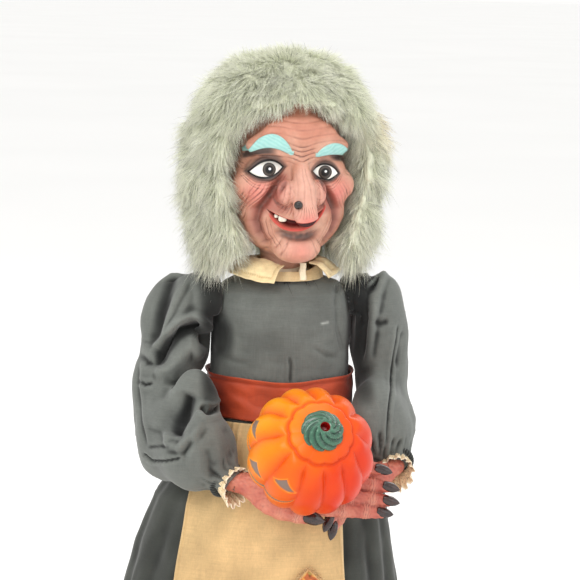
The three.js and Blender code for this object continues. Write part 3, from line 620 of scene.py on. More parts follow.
def face_paint(p, relief, hollow):
    x, y, z = p.T
    ax = np.abs(x)
    colour = all_over(SKIN, len(p))
    colour = mixed(colour, SKIN_PALE, 0.5 + 0.5 * waves(p, 16, 11))
    colour = mixed(colour, (196, 122, 100), ramp(z, 528, 545) * 0.55)
    colour = mixed(colour, NOSE_PINK, ramp(-y, 54, 62) * 0.8)
    colour = mixed(colour, SKIN_PALE, ramp(462 - z, 0, 8) * 0.6 * ramp(24 - ax, 0, 8))
    # Sprayed pink on the cheeks, the nose's tip and the chin.
    colour = mixed(colour, BLUSH, 0.62 * bell(np.hypot((ax - 31) / 1.1, (z - 494) * 1.1), 12))
    colour = mixed(colour, (222, 116, 108), 0.75 * bell(np.hypot(x - 1, z - 473), 8) * ramp(-y, 60, 66))
    colour = mixed(colour, (226, 134, 122), 0.5 * bell(np.hypot(x, z - 449), 11))
    # Painted shade along the deep folds and on the skin between them and the nose.
    beyond = beyond_fold(ax, z)
    d = polyline_distance(ax, z, FOLD)
    colour = mixed(colour, (132, 66, 58), 0.62 * bell(d, 4.2) * ramp(z, 452, 464))
    inner = ramp(-beyond, -1, 3) * ramp(z, 476, 482) * ramp(505 - z, 0, 8)
    inner = inner * ramp(-y, 30, 36) * ramp(62 + y, 0, 8)
    colour = mixed(colour, (148, 80, 70), 0.55 * inner)
    # Darker in all the creases: partly the mask's own wash, partly painted shade.
    wash_and_shade = clamp(hollow[0] * 2.2) * 0.75 + clamp(hollow[1] * 0.75) * 0.55 + clamp(-relief * 0.5 - 0.1) * 0.3
    wash_and_shade *= 0.95 + 0.35 * waves(p, 9, 12)
    colour = mixed(colour, CREASE_WASH_AND_SHADE, clamp(wash_and_shade, 0, 0.9))
    # Lighter on the small ridges: a painted highlight.
    colour = mixed(colour, (240, 194, 172), clamp(-hollow[0] * 2.0, 0, 0.5))
    # Darker at the temples, beside the outer ends of the brows.
    colour = mixed(colour, (88, 66, 60), 0.5 * ramp(ax, 38, 46) * ramp(z, 515, 522) * ramp(536 - z, 0, 6))

    # The hollow under the lower lip is painted grey: a painted shadow.
    shade_and_smoke = bell((z - 460.6 - 0.012 * ax ** 2) / 3.4, 1) * ramp(19 - np.abs(x + 2), 0, 9)
    colour = mixed(colour, (66, 60, 60), 0.68 * shade_and_smoke * (0.75 + 0.25 * waves(p, 5, 14)))
    top, bottom = mouth_edges(x)
    gap = mouth_gap(x, z)
    lip = ramp(bottom + 0.4 - z, 0, 0.8) * ramp(2.5 - gap, 0, 0.8) * ramp(25.5 - ax, 0, 3)
    colour = mixed(colour, (184, 58, 48), 0.85 * lip)
    colour = mixed(colour, (222, 100, 88), 0.5 * lip * bell(gap - 1.6, 0.8))
    lip = ramp(z - top + 0.4, 0, 0.8) * ramp(1.2 - gap, 0, 0.7) * ramp(25.5 - ax, 0, 4)
    colour = mixed(colour, (176, 62, 54), 0.8 * lip)
    colour = mixed(colour, (98, 22, 20), ramp(-gap, -0.2, 0.5))
    colour = mixed(colour, (52, 12, 12), ramp(-gap, 1.0, 2.6) * 0.8)

    # Brows in pale blue, with a painted shadow under their outer halves.
    for side in (-1, 1):
        near = (side * x > 0) * ramp(-y, 18, 22)
        inside, t = brow_shape(x, z, side)
        under, _ = brow_shape(x, z + 4.6, side)
        under_brow_shadow = ramp(under, -1.2, 1.2) * ramp(t, 0.3, 0.6) * (1 - ramp(inside, -0.2, 0.4))
        under_brow_shadow = under_brow_shadow * (side * x > 0) * ramp(-y, 18, 24)
        colour = mixed(colour, (62, 54, 52), 0.85 * under_brow_shadow)
        streak = 0.5 + 0.5 * np.sin((z - 0.5 * side * x) * 2.1 + 1.3 * waves(p, 9, 13))
        blue = np.array([150, 202, 196]) + streak[:, None] * np.array([16, 10, 10])
        colour = mixed(colour, blue, ramp(inside, -0.15, 0.35) * near * ramp(44 - ax, 0, 2))

    # Painted eyes.
    for side in (-1, 1):
        near = (side * x > 0) * ramp(-y, 20, 26)
        lens = eye_lens(x, z, side)
        # A dark band round each eye: smoky paint, and painted shade of the socket.
        shade_and_smoke = ramp(0.95 - lens, 0, 0.8) * ramp(lens, -0.1, 0.05) * near
        colour = mixed(colour, (66, 52, 48), 0.85 * shade_and_smoke)
        line = ramp(0.16 - lens, 0, 0.08) * near
        colour = mixed(colour, (30, 26, 26), line)
        white = ramp(-lens, 0.02, 0.12) * near
        shaded = ramp(z, 512, 520)[:, None]
        colour = mixed(colour, np.array([240, 238, 232]) - shaded * 60, white)
        middle = IRIS_RIGHT if side < 0 else IRIS_LEFT
        r = np.hypot(x - middle[0], z - middle[1])
        colour = mixed(colour, (44, 38, 36), white * ramp(5.5 - r, 0, 0.4))
        colour = mixed(colour, (104, 96, 86), white * bell(r - 4.0, 0.6) * 0.6)
        colour = mixed(colour, (12, 10, 10), white * ramp(3.1 - r, 0, 0.4))
        glint = np.hypot(x - middle[0] - 0.3, z - middle[1] - 0.6)
        colour = mixed(colour, (250, 250, 250), white * ramp(1.25 - glint, 0, 0.4))
    return clamp(colour, 0, 255)


def vinyl(name="vinyl"):
    m = Nodes(name)
    tone = m.fit(m.noise(220, 4, 0.6), 0.3, 0.75, 0.9, 1.06)
    rough = m.fit(m.noise(160, 3), 0.3, 0.7, 0.42, 0.58)
    grain = m.bump(m.noise(1500, 3), 0.12, 0.0003)
    normal = m.bump(m.noise(420, 3, 0.6), 0.25, 0.0006, grain)
    return m.finish(Base_Color=m.painted(tone), Roughness=rough, Normal=normal, Subsurface_Weight=0.06,
                    Subsurface_Scale=0.004, Specular_IOR_Level=0.42)


def make_head():
    step = 1.6
    vertices, quads = net(head_field, (-58, -84, 428), (58, 68, 594), step)
    vertices, _ = settle(head_field, vertices)
    head = mesh_object("head_vinyl", vertices, quads)

    def at_front(p):
        return (p[:, 1] < -2 - 0.35 * np.abs(p[:, 0])) & (p[:, 2] < 572)

    def in_detail(p):
        ax = np.abs(p[:, 0])
        eyes = (ax > 8) & (ax < 41) & (np.abs(p[:, 2] - 514) < 13)
        brows = (ax > 7) & (ax < 49) & (np.abs(p[:, 2] - 533) < 13)
        mouth = (ax < 30) & (np.abs(p[:, 2] - 470) < 15)
        return (p[:, 1] < -18) & (eyes | brows | mouth)

    finer(head, at_front)
    finer(head, in_detail)
    finer(head, lambda p: in_detail(p) & (np.abs(p[:, 2] - 513) < 9))
    p, n = settle(head_field, points_of(head))
    relief = face_relief(p, n)
    move_points(head, p + n * relief[:, None])
    hollow = (hollowness(head, 2), hollowness(head, 9))
    paint(head, face_paint(p, relief, hollow))
    move_points(head, turn_head(points_of(head)))
    dress(head, vinyl())
    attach(head, "head")
    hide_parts("head_shell")


def surface_point(x, z):
    """The point on the front of the head at this place in the front view, and its outward direction."""
    start = np.array([[x, -90.0, z]])
    for _ in range(60):
        start[:, 1] += head_field(start) * 0.7
    return start[0], slope(head_field, start)[0]


def ball_mesh(name, centre, radii, segments=28, rings=18):
    u = np.linspace(0, 2 * np.pi, segments, endpoint=False)
    v = np.linspace(0, np.pi, rings + 1)[1:-1]
    uu, vv = np.meshgrid(u, v)
    body = np.stack([np.cos(uu) * np.sin(vv), np.sin(uu) * np.sin(vv), np.cos(vv)], -1).reshape(-1, 3)
    points = np.concatenate([body, [[0, 0, 1], [0, 0, -1]]]) * np.asarray(radii) + np.asarray(centre)
    quads = grid_faces(rings - 1, segments, True)
    top, low = len(points) - 2, len(points) - 1
    ring = np.arange(segments)
    last = (rings - 2) * segments
    caps = np.concatenate([
        np.stack([np.full(segments, top), ring, (ring + 1) % segments], 1),
        np.stack([np.full(segments, low), last + (ring + 1) % segments, last + ring], 1),
    ])
    return mesh_object(name, points, [quads[:, ::-1], caps])


def grid_faces(rows, columns, closed=False):
    """Quads of a grid of vertices, row by row. A closed grid joins its last column to its first."""
    across = columns if closed else columns - 1
    i, j = np.meshgrid(np.arange(rows - 1), np.arange(across), indexing="ij")
    i, j = i.ravel(), j.ravel()
    k = (j + 1) % columns
    return np.stack([i * columns + j, i * columns + k, (i + 1) * columns + k, (i + 1) * columns + j], 1)


def glossy_paint(name, colour, rough=0.18, second=None):
    m = Nodes(name)
    tone = m.mix(m.fit(m.noise(300, 4, 0.6), 0.35, 0.7), colour, second or tuple(0.8 * c for c in colour))
    normal = m.bump(m.noise(500, 2), 0.08, 0.0004)
    return m.finish(Base_Color=tone, Roughness=rough, Normal=normal, Coat_Weight=0.3, Coat_Roughness=0.15)


# Each tooth's name, its place in the front view and its half sizes.
TEETH = [
    ("tooth_front", -15.6, 473.6, (3.3, 2.2, 2.7)),
    ("tooth_small", -20.6, 475.6, (1.5, 1.4, 1.5)),
]


def make_wart_and_teeth():
    p, n = surface_point(-6.5, 487)
    wart = ball_mesh("nose_wart", turn_head(p[None] + n * 1.6)[0], (3.5, 3.5, 3.5))
    dress(wart, glossy_paint("wart_paint", (46, 38, 34), 0.08, (26, 22, 20)))
    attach(wart, "head")
    for name, x, z, size in TEETH:
        p, n = surface_point(x, z)
        tooth = ball_mesh(name, (0, 0, 0), (1, 1, 1), 24, 14)
        q = points_of(tooth)
        q = np.sign(q) * np.abs(q) ** 0.62 * np.array(size)
        move_points(tooth, turn_head(q + p - n * 2.6))
        dress(tooth, glossy_paint(name + "_paint", (240, 236, 222), 0.3, (222, 212, 190)))
        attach(tooth, "head")


make_head()
make_wart_and_teeth()


# ---- Wig: a mass of underfur with thousands of tapering strands ----
FACE_OPENING = np.array([
    [420, 44],
    [440, 40],
    [453, 36],
    [465, 41],
    [480, 46],
    [500, 51],
    [514, 51],
    [530, 50],
    [541, 47],
    [550, 40],
    [557, 30],
    [562, 16],
    [565, 0.5],
], float)
FUR_LEVELS = np.array([
    [430, 66, 58],
    [442, 74, 64],
    [458, 79, 69],
    [480, 82, 73],
    [505, 83, 75],
    [530, 83, 76],
    [620, 83, 76],
], float)
FUR_ROOTS = 8.0  # how far the strands' roots lie under the fur's outer surface
FUR_LOW, FUR_HIGH = (-96, -88, 424), (96, 98, 620)  # corners of the space the fur is worked out in
STRANDS, STRAND_STEPS = 76000, 4
TUFT_STRANDS = 22


def fur_space(p):
    """The fur's outer surface, with its opening for the face."""
    x, y, z = p.T
    dome = ellipsoid(p, (0, 5, 522), (83.5, 77, 86))
    half, deep = levels_at(FUR_LEVELS, z)
    column = (np.hypot(x / half, (y - 5) / deep) - 1) * np.minimum(half, deep)
    column = np.maximum(column, z - 530)
    d = blend_max(blend_min(dome, column, 8), 437 - z, 10)
    d = d + 2.6 * waves(p, 34, 21) + 1.2 * waves(p, 15, 22)
    width = np.interp(z, FACE_OPENING[:, 0], FACE_OPENING[:, 1], right=-20)
    opening = np.maximum(np.maximum(np.abs(x - 1.0) - width, z - 565), y + 4)
    return blend_max(d, -opening, 9)


def under_head(p):
    """The space inside the fur: the vinyl head and the room for the neck."""
    x, y, z = p.T
    neck = np.maximum((np.hypot(x / 50, (y - 2) / 54) - 1) * 50, z - 500)
    return np.minimum(head_field(p) - 0.6, neck)


def fur_material():
    m = Nodes("fur")
    where = m.place(scale=(1, 1, 0.25))
    tone = m.fit(m.noise(900, 3, 0.6, where), 0.3, 0.75, 0.8, 1.12)
    rough = m.fit(m.noise(300, 2), 0.3, 0.7, 0.42, 0.6)
    normal = m.bump(m.noise(1400, 2, 0.5, where), 0.35, 0.0008)
    return m.finish(Base_Color=m.painted(tone), Roughness=rough, Normal=normal, Sheen_Weight=0.25,
                    Sheen_Roughness=0.4, Specular_IOR_Level=0.35)


FUR_DARK = np.array([184, 185, 164], float)
FUR_MIDDLE = np.array([236, 240, 212], float)
FUR_LIGHT = np.array([251, 252, 234], float)


def fur_tone(p):
    """How light the fur is here, about -1 to 1, with dark patches beside the brow and under the cheeks."""
    x, y, z = p.T
    tone = 0.55 * waves(p, 26, 23) + 0.45 * waves(p, 9, 24)
    beside = bell(np.hypot(np.abs(x) - 44, (z - 552) * 0.8), 17) * ramp(-y, 5, 30)
    low = bell(np.hypot(np.abs(x) - 48, (z - 440) * 0.9), 22) * ramp(-y, 5, 30)
    return tone - 0.9 * beside - 0.45 * low


def make_fur_mass(material):
    step = 3.4
    vertices, quads = net(lambda p: np.maximum(fur_space(p) + FUR_ROOTS - 1.0, -under_head(p)),
                          FUR_LOW, FUR_HIGH, step)
    mass = mesh_object("wig_underfur", vertices, quads)
    p, n = points_of(mass), normals_of(mass)
    move_points(mass, p + n * (0.9 * waves(p, 5, 25) + 0.6 * waves(p, 3, 26))[:, None])
    tone = fur_tone(p) + 0.5 * waves(p, 4, 27, stretch=(1, 1, 3))
    colour = FUR_DARK + (FUR_MIDDLE - FUR_DARK) * clamp(0.45 + 0.25 * tone, 0, 0.9)[:, None]
    paint(mass, colour)
    move_points(mass, turn_head(points_of(mass)))
    dress(mass, material)
    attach(mass, "head")
    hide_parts("wig")


def sample_surface(vertices, quads, count, rng):
    """Random points spread evenly over quads."""
    corners = vertices[quads]
    a = np.linalg.norm(np.cross(corners[:, 1] - corners[:, 0], corners[:, 2] - corners[:, 0]), axis=1)
    b = np.linalg.norm(np.cross(corners[:, 2] - corners[:, 0], corners[:, 3] - corners[:, 0]), axis=1)
    total = np.cumsum(a + b)
    chosen = np.searchsorted(total, rng.uniform(0, total[-1], count))
    u, v = rng.uniform(0, 1, (2, count, 1))
    c = corners[chosen]
    return (c[:, 0] * (1 - u) + c[:, 1] * u) * (1 - v) + (c[:, 3] * (1 - u) + c[:, 2] * u) * v


def fur_way(p, n, rng, jitter):
    """Each strand's first direction: out of the skin, and along the way the fur lies."""
    x, y, z = p.T
    pull = np.stack([0.35 * x / 80, 0.25 * (y - 5) / 80, np.full(len(p), -1.0)], 1)
    pull[:, 0] += 0.45 * np.sign(x) * ramp(-y, 0, 30) * ramp(z, 470, 540)
    pull[:, 1] -= 0.55 * ramp(-y, 0, 30) * ramp(58 - np.abs(x), 0, 12) * ramp(z, 440, 470)
    along = pull - (pull * n).sum(1)[:, None] * n
    along /= np.linalg.norm(along, axis=1)[:, None] + 0.15
    lift = 0.42 + 0.40 * ramp(z, 560, 600) - 0.10 * ramp(480 - z, 0, 30)
    swirl = np.stack([waves(p, 22, seed) for seed in (31, 32, 33)], 1)
    way = lift[:, None] * n + (1 - 0.6 * lift)[:, None] * along
    return unit_rows(way + 0.24 * swirl + jitter * rng.normal(size=p.shape))


def strand_paths(p, way, length, bend, steps):
    t = np.linspace(0, 1, steps + 1)[:, None, None]
    return p[None] + length[None, :, None] * (way[None] * t + bend[None] * t * t)


def strand_mesh(name, paths, radii, colours, material):
    """Closed three-sided strands that taper to a point, with a radius and a colour at each ring."""
    rings, count = len(paths) - 1, paths.shape[1]
    way = unit_rows(paths[-1] - paths[0])
    side = unit_rows(np.cross(way, np.roll(way, 1, 1) + np.array([0.3, 0.1, 0.7])))
    other = np.cross(way, side)
    points = np.empty((count, rings * 3 + 1, 3))
    shades = np.empty((count, rings * 3 + 1, 3))
    for ring in range(rings):
        for corner in range(3):
            turn = 2 * np.pi * corner / 3
            offset = (side * math.cos(turn) + other * math.sin(turn)) * radii[ring][:, None]
            points[:, ring * 3 + corner] = paths[ring] + offset
            shades[:, ring * 3 + corner] = colours[ring]
    points[:, -1] = paths[-1]
    shades[:, -1] = colours[-1]
    quads = []
    for ring in range(rings - 1):
        for corner in range(3):
            nxt = (corner + 1) % 3
            quads.append([ring * 3 + corner, ring * 3 + nxt, ring * 3 + 3 + nxt, ring * 3 + 3 + corner])
    last = (rings - 1) * 3
    caps = [[0, 2, 1]] + [[last + corner, last + (corner + 1) % 3, last + 3] for corner in range(3)]
    start = (np.arange(count) * (rings * 3 + 1))[:, None, None]
    made = mesh_object(name, points.reshape(-1, 3),
                       [(start + np.array(quads)).reshape(-1, 4), (start + np.array(caps)).reshape(-1, 3)])
    paint(made, shades.reshape(-1, 3))
    dress(made, material)
    return made


def loose_threads(name, roots, way, length, bend, radii, colour, material):
    """Short thin threads in one mesh, each of one colour."""
    paths = strand_paths(roots, unit_rows(way), length, bend, STRAND_STEPS)
    return strand_mesh(name, paths, radii, [colour] * (STRAND_STEPS + 1), material)


def strand_colours(roots, tone, dark_ones):
    """The strands' colours at each ring, from dark roots to light tips, with a warm patch at one side."""
    warm = (bell(np.hypot(roots[:, 0] - 76, roots[:, 2] - 548), 16) * 0.35)[:, None]
    colours = []
    for part in np.linspace(0, 1, STRAND_STEPS + 1):
        light = clamp(0.12 + 1.05 * part ** 0.8 + 0.16 * tone, 0, 1.25)[:, None]
        low = FUR_DARK + (FUR_MIDDLE - FUR_DARK) * clamp(light * 2, 0, 1)
        colour = low + (FUR_LIGHT - FUR_MIDDLE) * clamp(light * 2 - 1, 0, 1.2)
        colour = np.where(dark_ones, colour * 0.66, colour)
        colours.append(clamp(colour + warm * np.array([26, -18, -42]), 0, 255))
    return colours


def make_strands(material):
    rng = np.random.default_rng(2024)
    count = STRANDS
    pieces = 8
    vertices, quads = net(lambda p: fur_space(p) + FUR_ROOTS, FUR_LOW, FUR_HIGH, 5.0)
    roots = sample_surface(vertices, quads, int(count * 1.25), rng)
    roots = roots[under_head(roots) > -1.0][:count]
    normals = slope(fur_space, roots, 1.0)
    way = fur_way(roots, normals, rng, 0.20)
    x, y, z = roots.T
    length = rng.uniform(14, 23, len(roots)) * (1 + 0.55 * ramp(456 - z, 0, 12))
    length *= 1 - 0.2 * ramp(z, 575, 605)
    length *= 1 - 0.35 * ramp(-y, 20, 50) * ramp(62 - np.abs(x), 0, 16) * ramp(z, 450, 470)
    sag = np.array([0, 0, -1.0]) * 0.28 + 0.14 * rng.normal(size=roots.shape)
    paths = strand_paths(roots, way, length, sag, STRAND_STEPS)

    # Tufts: each strand leans towards the path of the nearest tuft's middle.
    tufts = roots[rng.permutation(len(roots))[: len(roots) // TUFT_STRANDS]]
    tuft_normals = slope(fur_space, tufts, 1.0)
    tuft_way = fur_way(tufts, tuft_normals, rng, 0.28)
    nearest = np.concatenate([
        np.argmin(((part[:, None] - tufts[None]) ** 2).sum(2), 1)
        for part in np.array_split(roots.astype(np.float32), 60)
    ])
    tuft_sag = np.array([0, 0, -1.0]) * 0.28 + 0.10 * rng.normal(size=tufts.shape)
    middles = strand_paths(tufts[nearest], tuft_way[nearest], length, tuft_sag[nearest], STRAND_STEPS)
    t = np.linspace(0, 1, STRAND_STEPS + 1)[:, None, None]
    paths = paths + (middles - paths) * (0.42 * t ** 1.3)
    thick = rng.uniform(0.11, 0.21, len(roots))
    radii = [thick * k for k in (1.0, 0.95, 0.75, 0.45)]

    tone = fur_tone(roots) + 0.55 * rng.normal(size=len(roots))
    tone = tone + 0.35 * rng.normal(size=len(tufts))[nearest]
    dark_ones = (rng.uniform(size=len(roots)) < 0.10)[:, None]
    colours = strand_colours(roots, tone, dark_ones)
    groups = np.array_split(rng.permutation(len(roots)), pieces)
    for i, group in enumerate(groups):
        turned = np.stack([turn_head(part[group]) for part in paths])
        thin, shades = [r[group] for r in radii], [c[group] for c in colours]
        made = strand_mesh(f"wig_fur_{i + 1}", turned, thin, shades, material)
        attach(made, "head")


def make_wig():
    material = fur_material()
    make_fur_mass(material)
    make_strands(material)


make_wig()


# ---- Pumpkin: blow-moulded, with two tiers of lobes and a painted face ----
LOBES = 12
PUMPKIN_R, PUMPKIN_H = 50.0, 43.0
STEM_AXIS = unit(PUMPKIN_STEM)
FACE_AXIS = unit(PUMPKIN_FACE - (PUMPKIN_FACE @ STEM_AXIS) * STEM_AXIS)
SIDE_AXIS = np.cross(STEM_AXIS, FACE_AXIS)
# Corners of the painted eyes and nose: degrees round the stem from the face, and height over the middle.
PUMPKIN_WINDOWS = [
    [(-63.4, 4.3), (-57.6, 17.9), (-40.3, 13.1)],
    [(-26.7, 2.3), (-17.2, 13.5), (-3.8, 5.5)],
    [(6.0, 17.1), (16.5, 25.0), (29.4, 17.5)],
]
FACE_MIDDLE = -16.0
PAINT_R = 46  # radius at which the painted shapes are laid out


def from_pumpkin(q):
    """Points from the pumpkin's own frame: the stem is its third axis and the face its first."""
    return PUMPKIN_CENTRE + q @ np.stack([FACE_AXIS, SIDE_AXIS, STEM_AXIS])


def inside_polygon(u, v, corners):
    """Distance inside a convex outline, positive inside."""
    corners = np.array(corners, float)
    turn = np.cross(corners[1] - corners[0], corners[2] - corners[0])
    if turn < 0:
        corners = corners[::-1]
    best = np.full(len(u), 1e9)
    for a, b in zip(corners, np.roll(corners, -1, 0)):
        way = (b - a) / np.linalg.norm(b - a)
        best = np.minimum(best, way[0] * (v - a[1]) - way[1] * (u - a[0]))
    return best


def closed_grid(rows, columns):
    """Faces of a grid of closed rings with a point at each end: the two points come last."""
    ring = np.arange(columns)
    after = (ring + 1) % columns
    first, last = rows * columns, rows * columns + 1
    low = (rows - 1) * columns
    caps = np.concatenate([
        np.stack([np.full(columns, first), ring, after], 1),
        np.stack([np.full(columns, last), low + after, low + ring], 1),
    ])
    return [grid_faces(rows, columns, True)[:, ::-1], caps]


def pumpkin_surface(u, turn):
    """Points at this angle from the stem and this angle round it, and how deep in a groove each is."""
    flat = np.abs(np.sin(u)) ** 0.92
    rise = np.sign(np.cos(u)) * np.abs(np.cos(u)) ** 0.94
    rho = PUMPKIN_R * flat
    twist = math.radians(7) * ramp(rho, 24, 48) * np.sin(turn * 2 + 0.6)
    phase = LOBES * (turn - math.radians(-3) - twist) / 2
    lobe = np.abs(np.sin(phase))
    valley = 1 - lobe ** 0.72
    upper = ramp(rise, -0.1, 0.2)
    edge = 24.0 + 1.2 * lobe ** 0.8
    tier = ramp(edge - rho, -0.9, 0.7) * upper
    out = -4.0 * valley * (ramp(rho, 25, 37) * upper + ramp(rho, 6, 30) * (1 - upper))
    out += 1.5 * tier - 0.25 * valley * ramp(rho, 11, 20) * tier
    out -= 1.9 * bell(rho - edge - 0.6, 1.25) * upper
    out += 1.3 * bell(rho - edge - 7, 5) * (1 - valley) * upper
    out -= 5.0 * bell(rho, 13) * (1 - upper)
    slim = flat / PUMPKIN_R
    normal = unit_rows(np.stack([slim * np.cos(turn), slim * np.sin(turn), rise / PUMPKIN_H], 1))
    base = np.stack([rho * np.cos(turn), rho * np.sin(turn), PUMPKIN_H * rise], 1) * 0.992
    deep = valley * ramp(rho, 24, 34) + 1.2 * bell(rho - edge - 0.6, 1.3) * upper
    return base + normal * out[:, None], normal, deep


def painted_windows(turn, high):
    """Distance into the painted eyes, nose and smile, positive inside."""
    degrees = (np.degrees(turn) + 180) % 360 - 180
    arc = np.radians(degrees) * PAINT_R
    window = np.full(len(high), -9.0)
    for corners in PUMPKIN_WINDOWS:
        flat = [(math.radians(a) * PAINT_R, h) for a, h in corners]
        window = np.maximum(window, inside_polygon(arc, high, flat))
    across = (degrees - FACE_MIDDLE) / 48
    smile = -5.0 + 12.7 * across ** 2
    half = 0.55 + 1.5 * clamp(1 - across ** 2)
    mouth = np.minimum(half - np.abs(high - smile + half * 0.8), (1 - np.abs(across)) * 40)
    return np.maximum(window, mouth)


def pumpkin_skin():
    m = Nodes("pumpkin_skin")
    tone = m.fit(m.noise(70, 3), 0.3, 0.7, 0.95, 1.03)
    rough = m.fit(m.noise(140, 3), 0.3, 0.7, 0.30, 0.42)
    normal = m.bump(m.noise(600, 3, 0.6), 0.10, 0.0004, m.bump(m.noise(40, 2), 0.2, 0.0015))
    return m.finish(Base_Color=m.painted(tone), Roughness=rough, Normal=normal, Subsurface_Weight=0.03,
                    Subsurface_Scale=0.004, Specular_IOR_Level=0.28)


def make_pumpkin():
    rows, columns = ((150, 432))
    down, turns = np.linspace(0, np.pi, rows + 2)[1:-1], np.linspace(0, 2 * np.pi, columns, endpoint=False)
    uu, tt = np.meshgrid(down, turns, indexing="ij")
    u = np.concatenate([uu.ravel(), [1e-4, np.pi - 1e-4]])
    turn = np.concatenate([tt.ravel(), [0, 0]])
    q, normal, deep = pumpkin_surface(u, turn)
    window = painted_windows(turn, q[:, 2])
    q = q - normal * (0.9 * ramp(window, -0.35, 0.35) * (q[:, 2] < 30))[:, None]
    points = from_pumpkin(q)
    x, y, z = (points - PUMPKIN_CENTRE).T
    red = clamp(0.56 + x / 95 - z / 150 - y / 400 + 0.05 * waves(points, 30, 41))
    colour = mixed(all_over((236, 146, 0), len(q)), (210, 48, 0), red)
    colour = mixed(colour, (214, 62, 18), 0.55 * clamp(deep))
    speck = waves(points, 1.6, 42, 24)
    colour = mixed(colour, (196, 66, 20), 0.35 * ramp(speck, 1.55, 1.9))
    inside = ramp(window, -0.25, 0.25)
    colour = mixed(colour, (128, 108, 98), inside)
    # Painted light: a pale yellow rim round the edge of each painted shape.
    colour = mixed(colour, (255, 178, 70), 0.5 * bell(window + 0.7, 0.4))
    pumpkin = mesh_object("pumpkin_lantern", points, closed_grid(rows, columns))
    paint(pumpkin, colour)
    dress(pumpkin, pumpkin_skin())
    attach(pumpkin, "arms")
    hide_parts("pumpkin_shell")


# Height over the pumpkin's middle and radius of the stem, from its foot over its top into its hole.
STEM_PROFILE = np.array([
    [39.5, 14.0],
    [41.0, 15.6],
    [43.2, 15.8],
    [45.4, 14.4],
    [47.6, 12.0],
    [49.6, 9.6],
    [51.4, 7.6],
    [52.4, 6.0],
    [52.7, 4.9],
    [52.2, 3.7],
    [50.5, 3.3],
    [45.0, 3.2],
], float)


def stem_gloss():
    m = Nodes("stem_gloss")
    tone = m.fit(m.noise(260, 4, 0.65), 0.3, 0.7, 0.8, 1.15)
    rough = m.fit(m.noise(300, 3), 0.3, 0.7, 0.12, 0.3)
    normal = m.bump(m.noise(420, 4, 0.7), 0.35, 0.0009)
    return m.finish(Base_Color=m.painted(tone), Roughness=rough, Normal=normal, Coat_Weight=0.4,
                    Coat_Roughness=0.12)


def make_stem():
    rows, columns = 64, 216
    s = np.linspace(0, len(STEM_PROFILE) - 1, rows)
    high = np.interp(s, np.arange(len(STEM_PROFILE)), STEM_PROFILE[:, 0])
    radius = np.interp(s, np.arange(len(STEM_PROFILE)), STEM_PROFILE[:, 1])
    hh, tt = np.meshgrid(high, np.linspace(0, 2 * np.pi, columns, endpoint=False), indexing="ij")
    rr = np.repeat(radius[:, None], columns, 1)
    ss = np.repeat(s[:, None], columns, 1)
    outer = ramp(7.6 - ss, 0, 1.6)
    swirl = tt + 0.16 * (hh - 41)
    ribs = np.abs(np.sin(4.5 * swirl + 0.4)) ** 0.55
    rr = rr * (1 + outer * (0.16 * (ribs - 0.75)))
    crooked = 0.5 * np.sin(27 * tt + 3 * np.sin(hh * 1.1)) * ramp(np.sin(tt - 0.4), 0.2, 0.8)
    hh = hh + outer * 1.3 * (ribs - 0.6) * ramp(ss, 0.5, 3) + 0.6 * outer * crooked * ramp(ss, 1, 3)
    q = np.stack([(rr * np.cos(tt)).ravel(), (rr * np.sin(tt)).ravel(), hh.ravel()], 1)
    q = np.concatenate([q, [[0, 0, 39.5], [0, 0, 45.0]]])
    faces = [f[:, ::-1] for f in closed_grid(rows, columns)]
    stem = mesh_object("pumpkin_stem_top", from_pumpkin(q), faces)
    deep = np.concatenate([(ramp(ss, 8.6, 9.4)).ravel(), [0, 1]])
    groove_dark = np.concatenate([(outer * (1 - ribs)).ravel(), [0, 0]])
    colour = mixed(all_over((50, 100, 76), len(q)), (18, 48, 36), groove_dark * 0.9)
    colour = mixed(colour, (104, 150, 122), 0.35 * ramp(waves(q, 3.0, 43), 0.5, 1.2) * (1 - deep))
    # The inside of the hole is painted deep red, standing in for the shell's inside lit through its orange
    # wall.
    colour = mixed(colour, (150, 12, 10), deep)
    paint(stem, colour)
    dress(stem, stem_gloss())
    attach(stem, "arms")
    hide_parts("pumpkin_stem")


make_pumpkin()
make_stem()


# ---- Dress: sleeves, bodice, skirt, waistband, apron and patch ----
VIEW_RIGHT = np.array([0.990, -0.139, 0.0])
VIEW_UP = np.array([0.022, 0.155, 0.988])
VIEW_BACK = np.cross(VIEW_RIGHT, VIEW_UP)
CLOTH = (98, 101, 97)
CLOTH_DARK = (16, 17, 16)
CLOTH_LIGHT = (140, 144, 138)


def seen_from_front(p):
    """Places as the front three-quarter view shows them: across and up, in millimetres."""
    return p @ VIEW_RIGHT, p @ VIEW_UP


def along_path(u, v, points):
    """Distance to a path, how far along it, 0 to 1, and on which side."""
    best = np.full(len(u), 1e9)
    part = np.zeros(len(u))
    side = np.zeros(len(u))
    lengths = [math.dist(a, b) for a, b in zip(points[:-1], points[1:])]
    whole, gone = sum(lengths), 0.0
    for a, b, length in zip(points[:-1], points[1:], lengths):
        way = (b[0] - a[0], b[1] - a[1])
        t = clamp(((u - a[0]) * way[0] + (v - a[1]) * way[1]) / length ** 2)
        du, dv = u - a[0] - t * way[0], v - a[1] - t * way[1]
        d = np.hypot(du, dv)
        nearer = d < best
        best = np.where(nearer, d, best)
        part = np.where(nearer, (gone + t * length) / whole, part)
        side = np.where(nearer, np.sign(way[0] * dv - way[1] * du), side)
        gone += length
    return best, part, side


def fold(u, v, points, depth, width, ends=0.12, overhang=0.0):
    """A valley along a path, negative, with a soft rise beside it. overhang sharpens its left side."""
    d, part, side = along_path(u, v, points)
    taper = ramp(part, 0.0, ends) * ramp(1 - part, 0.0, ends)
    wide = np.where(side > 0, width * (1 - 0.6 * overhang), width * (1 + 0.3 * overhang))
    valley = -depth * np.exp(-((d / wide) ** 2))
    rise = 0.28 * depth * np.exp(-(((d - 2.0 * wide) / (0.9 * wide)) ** 2))
    return (valley + rise) * taper


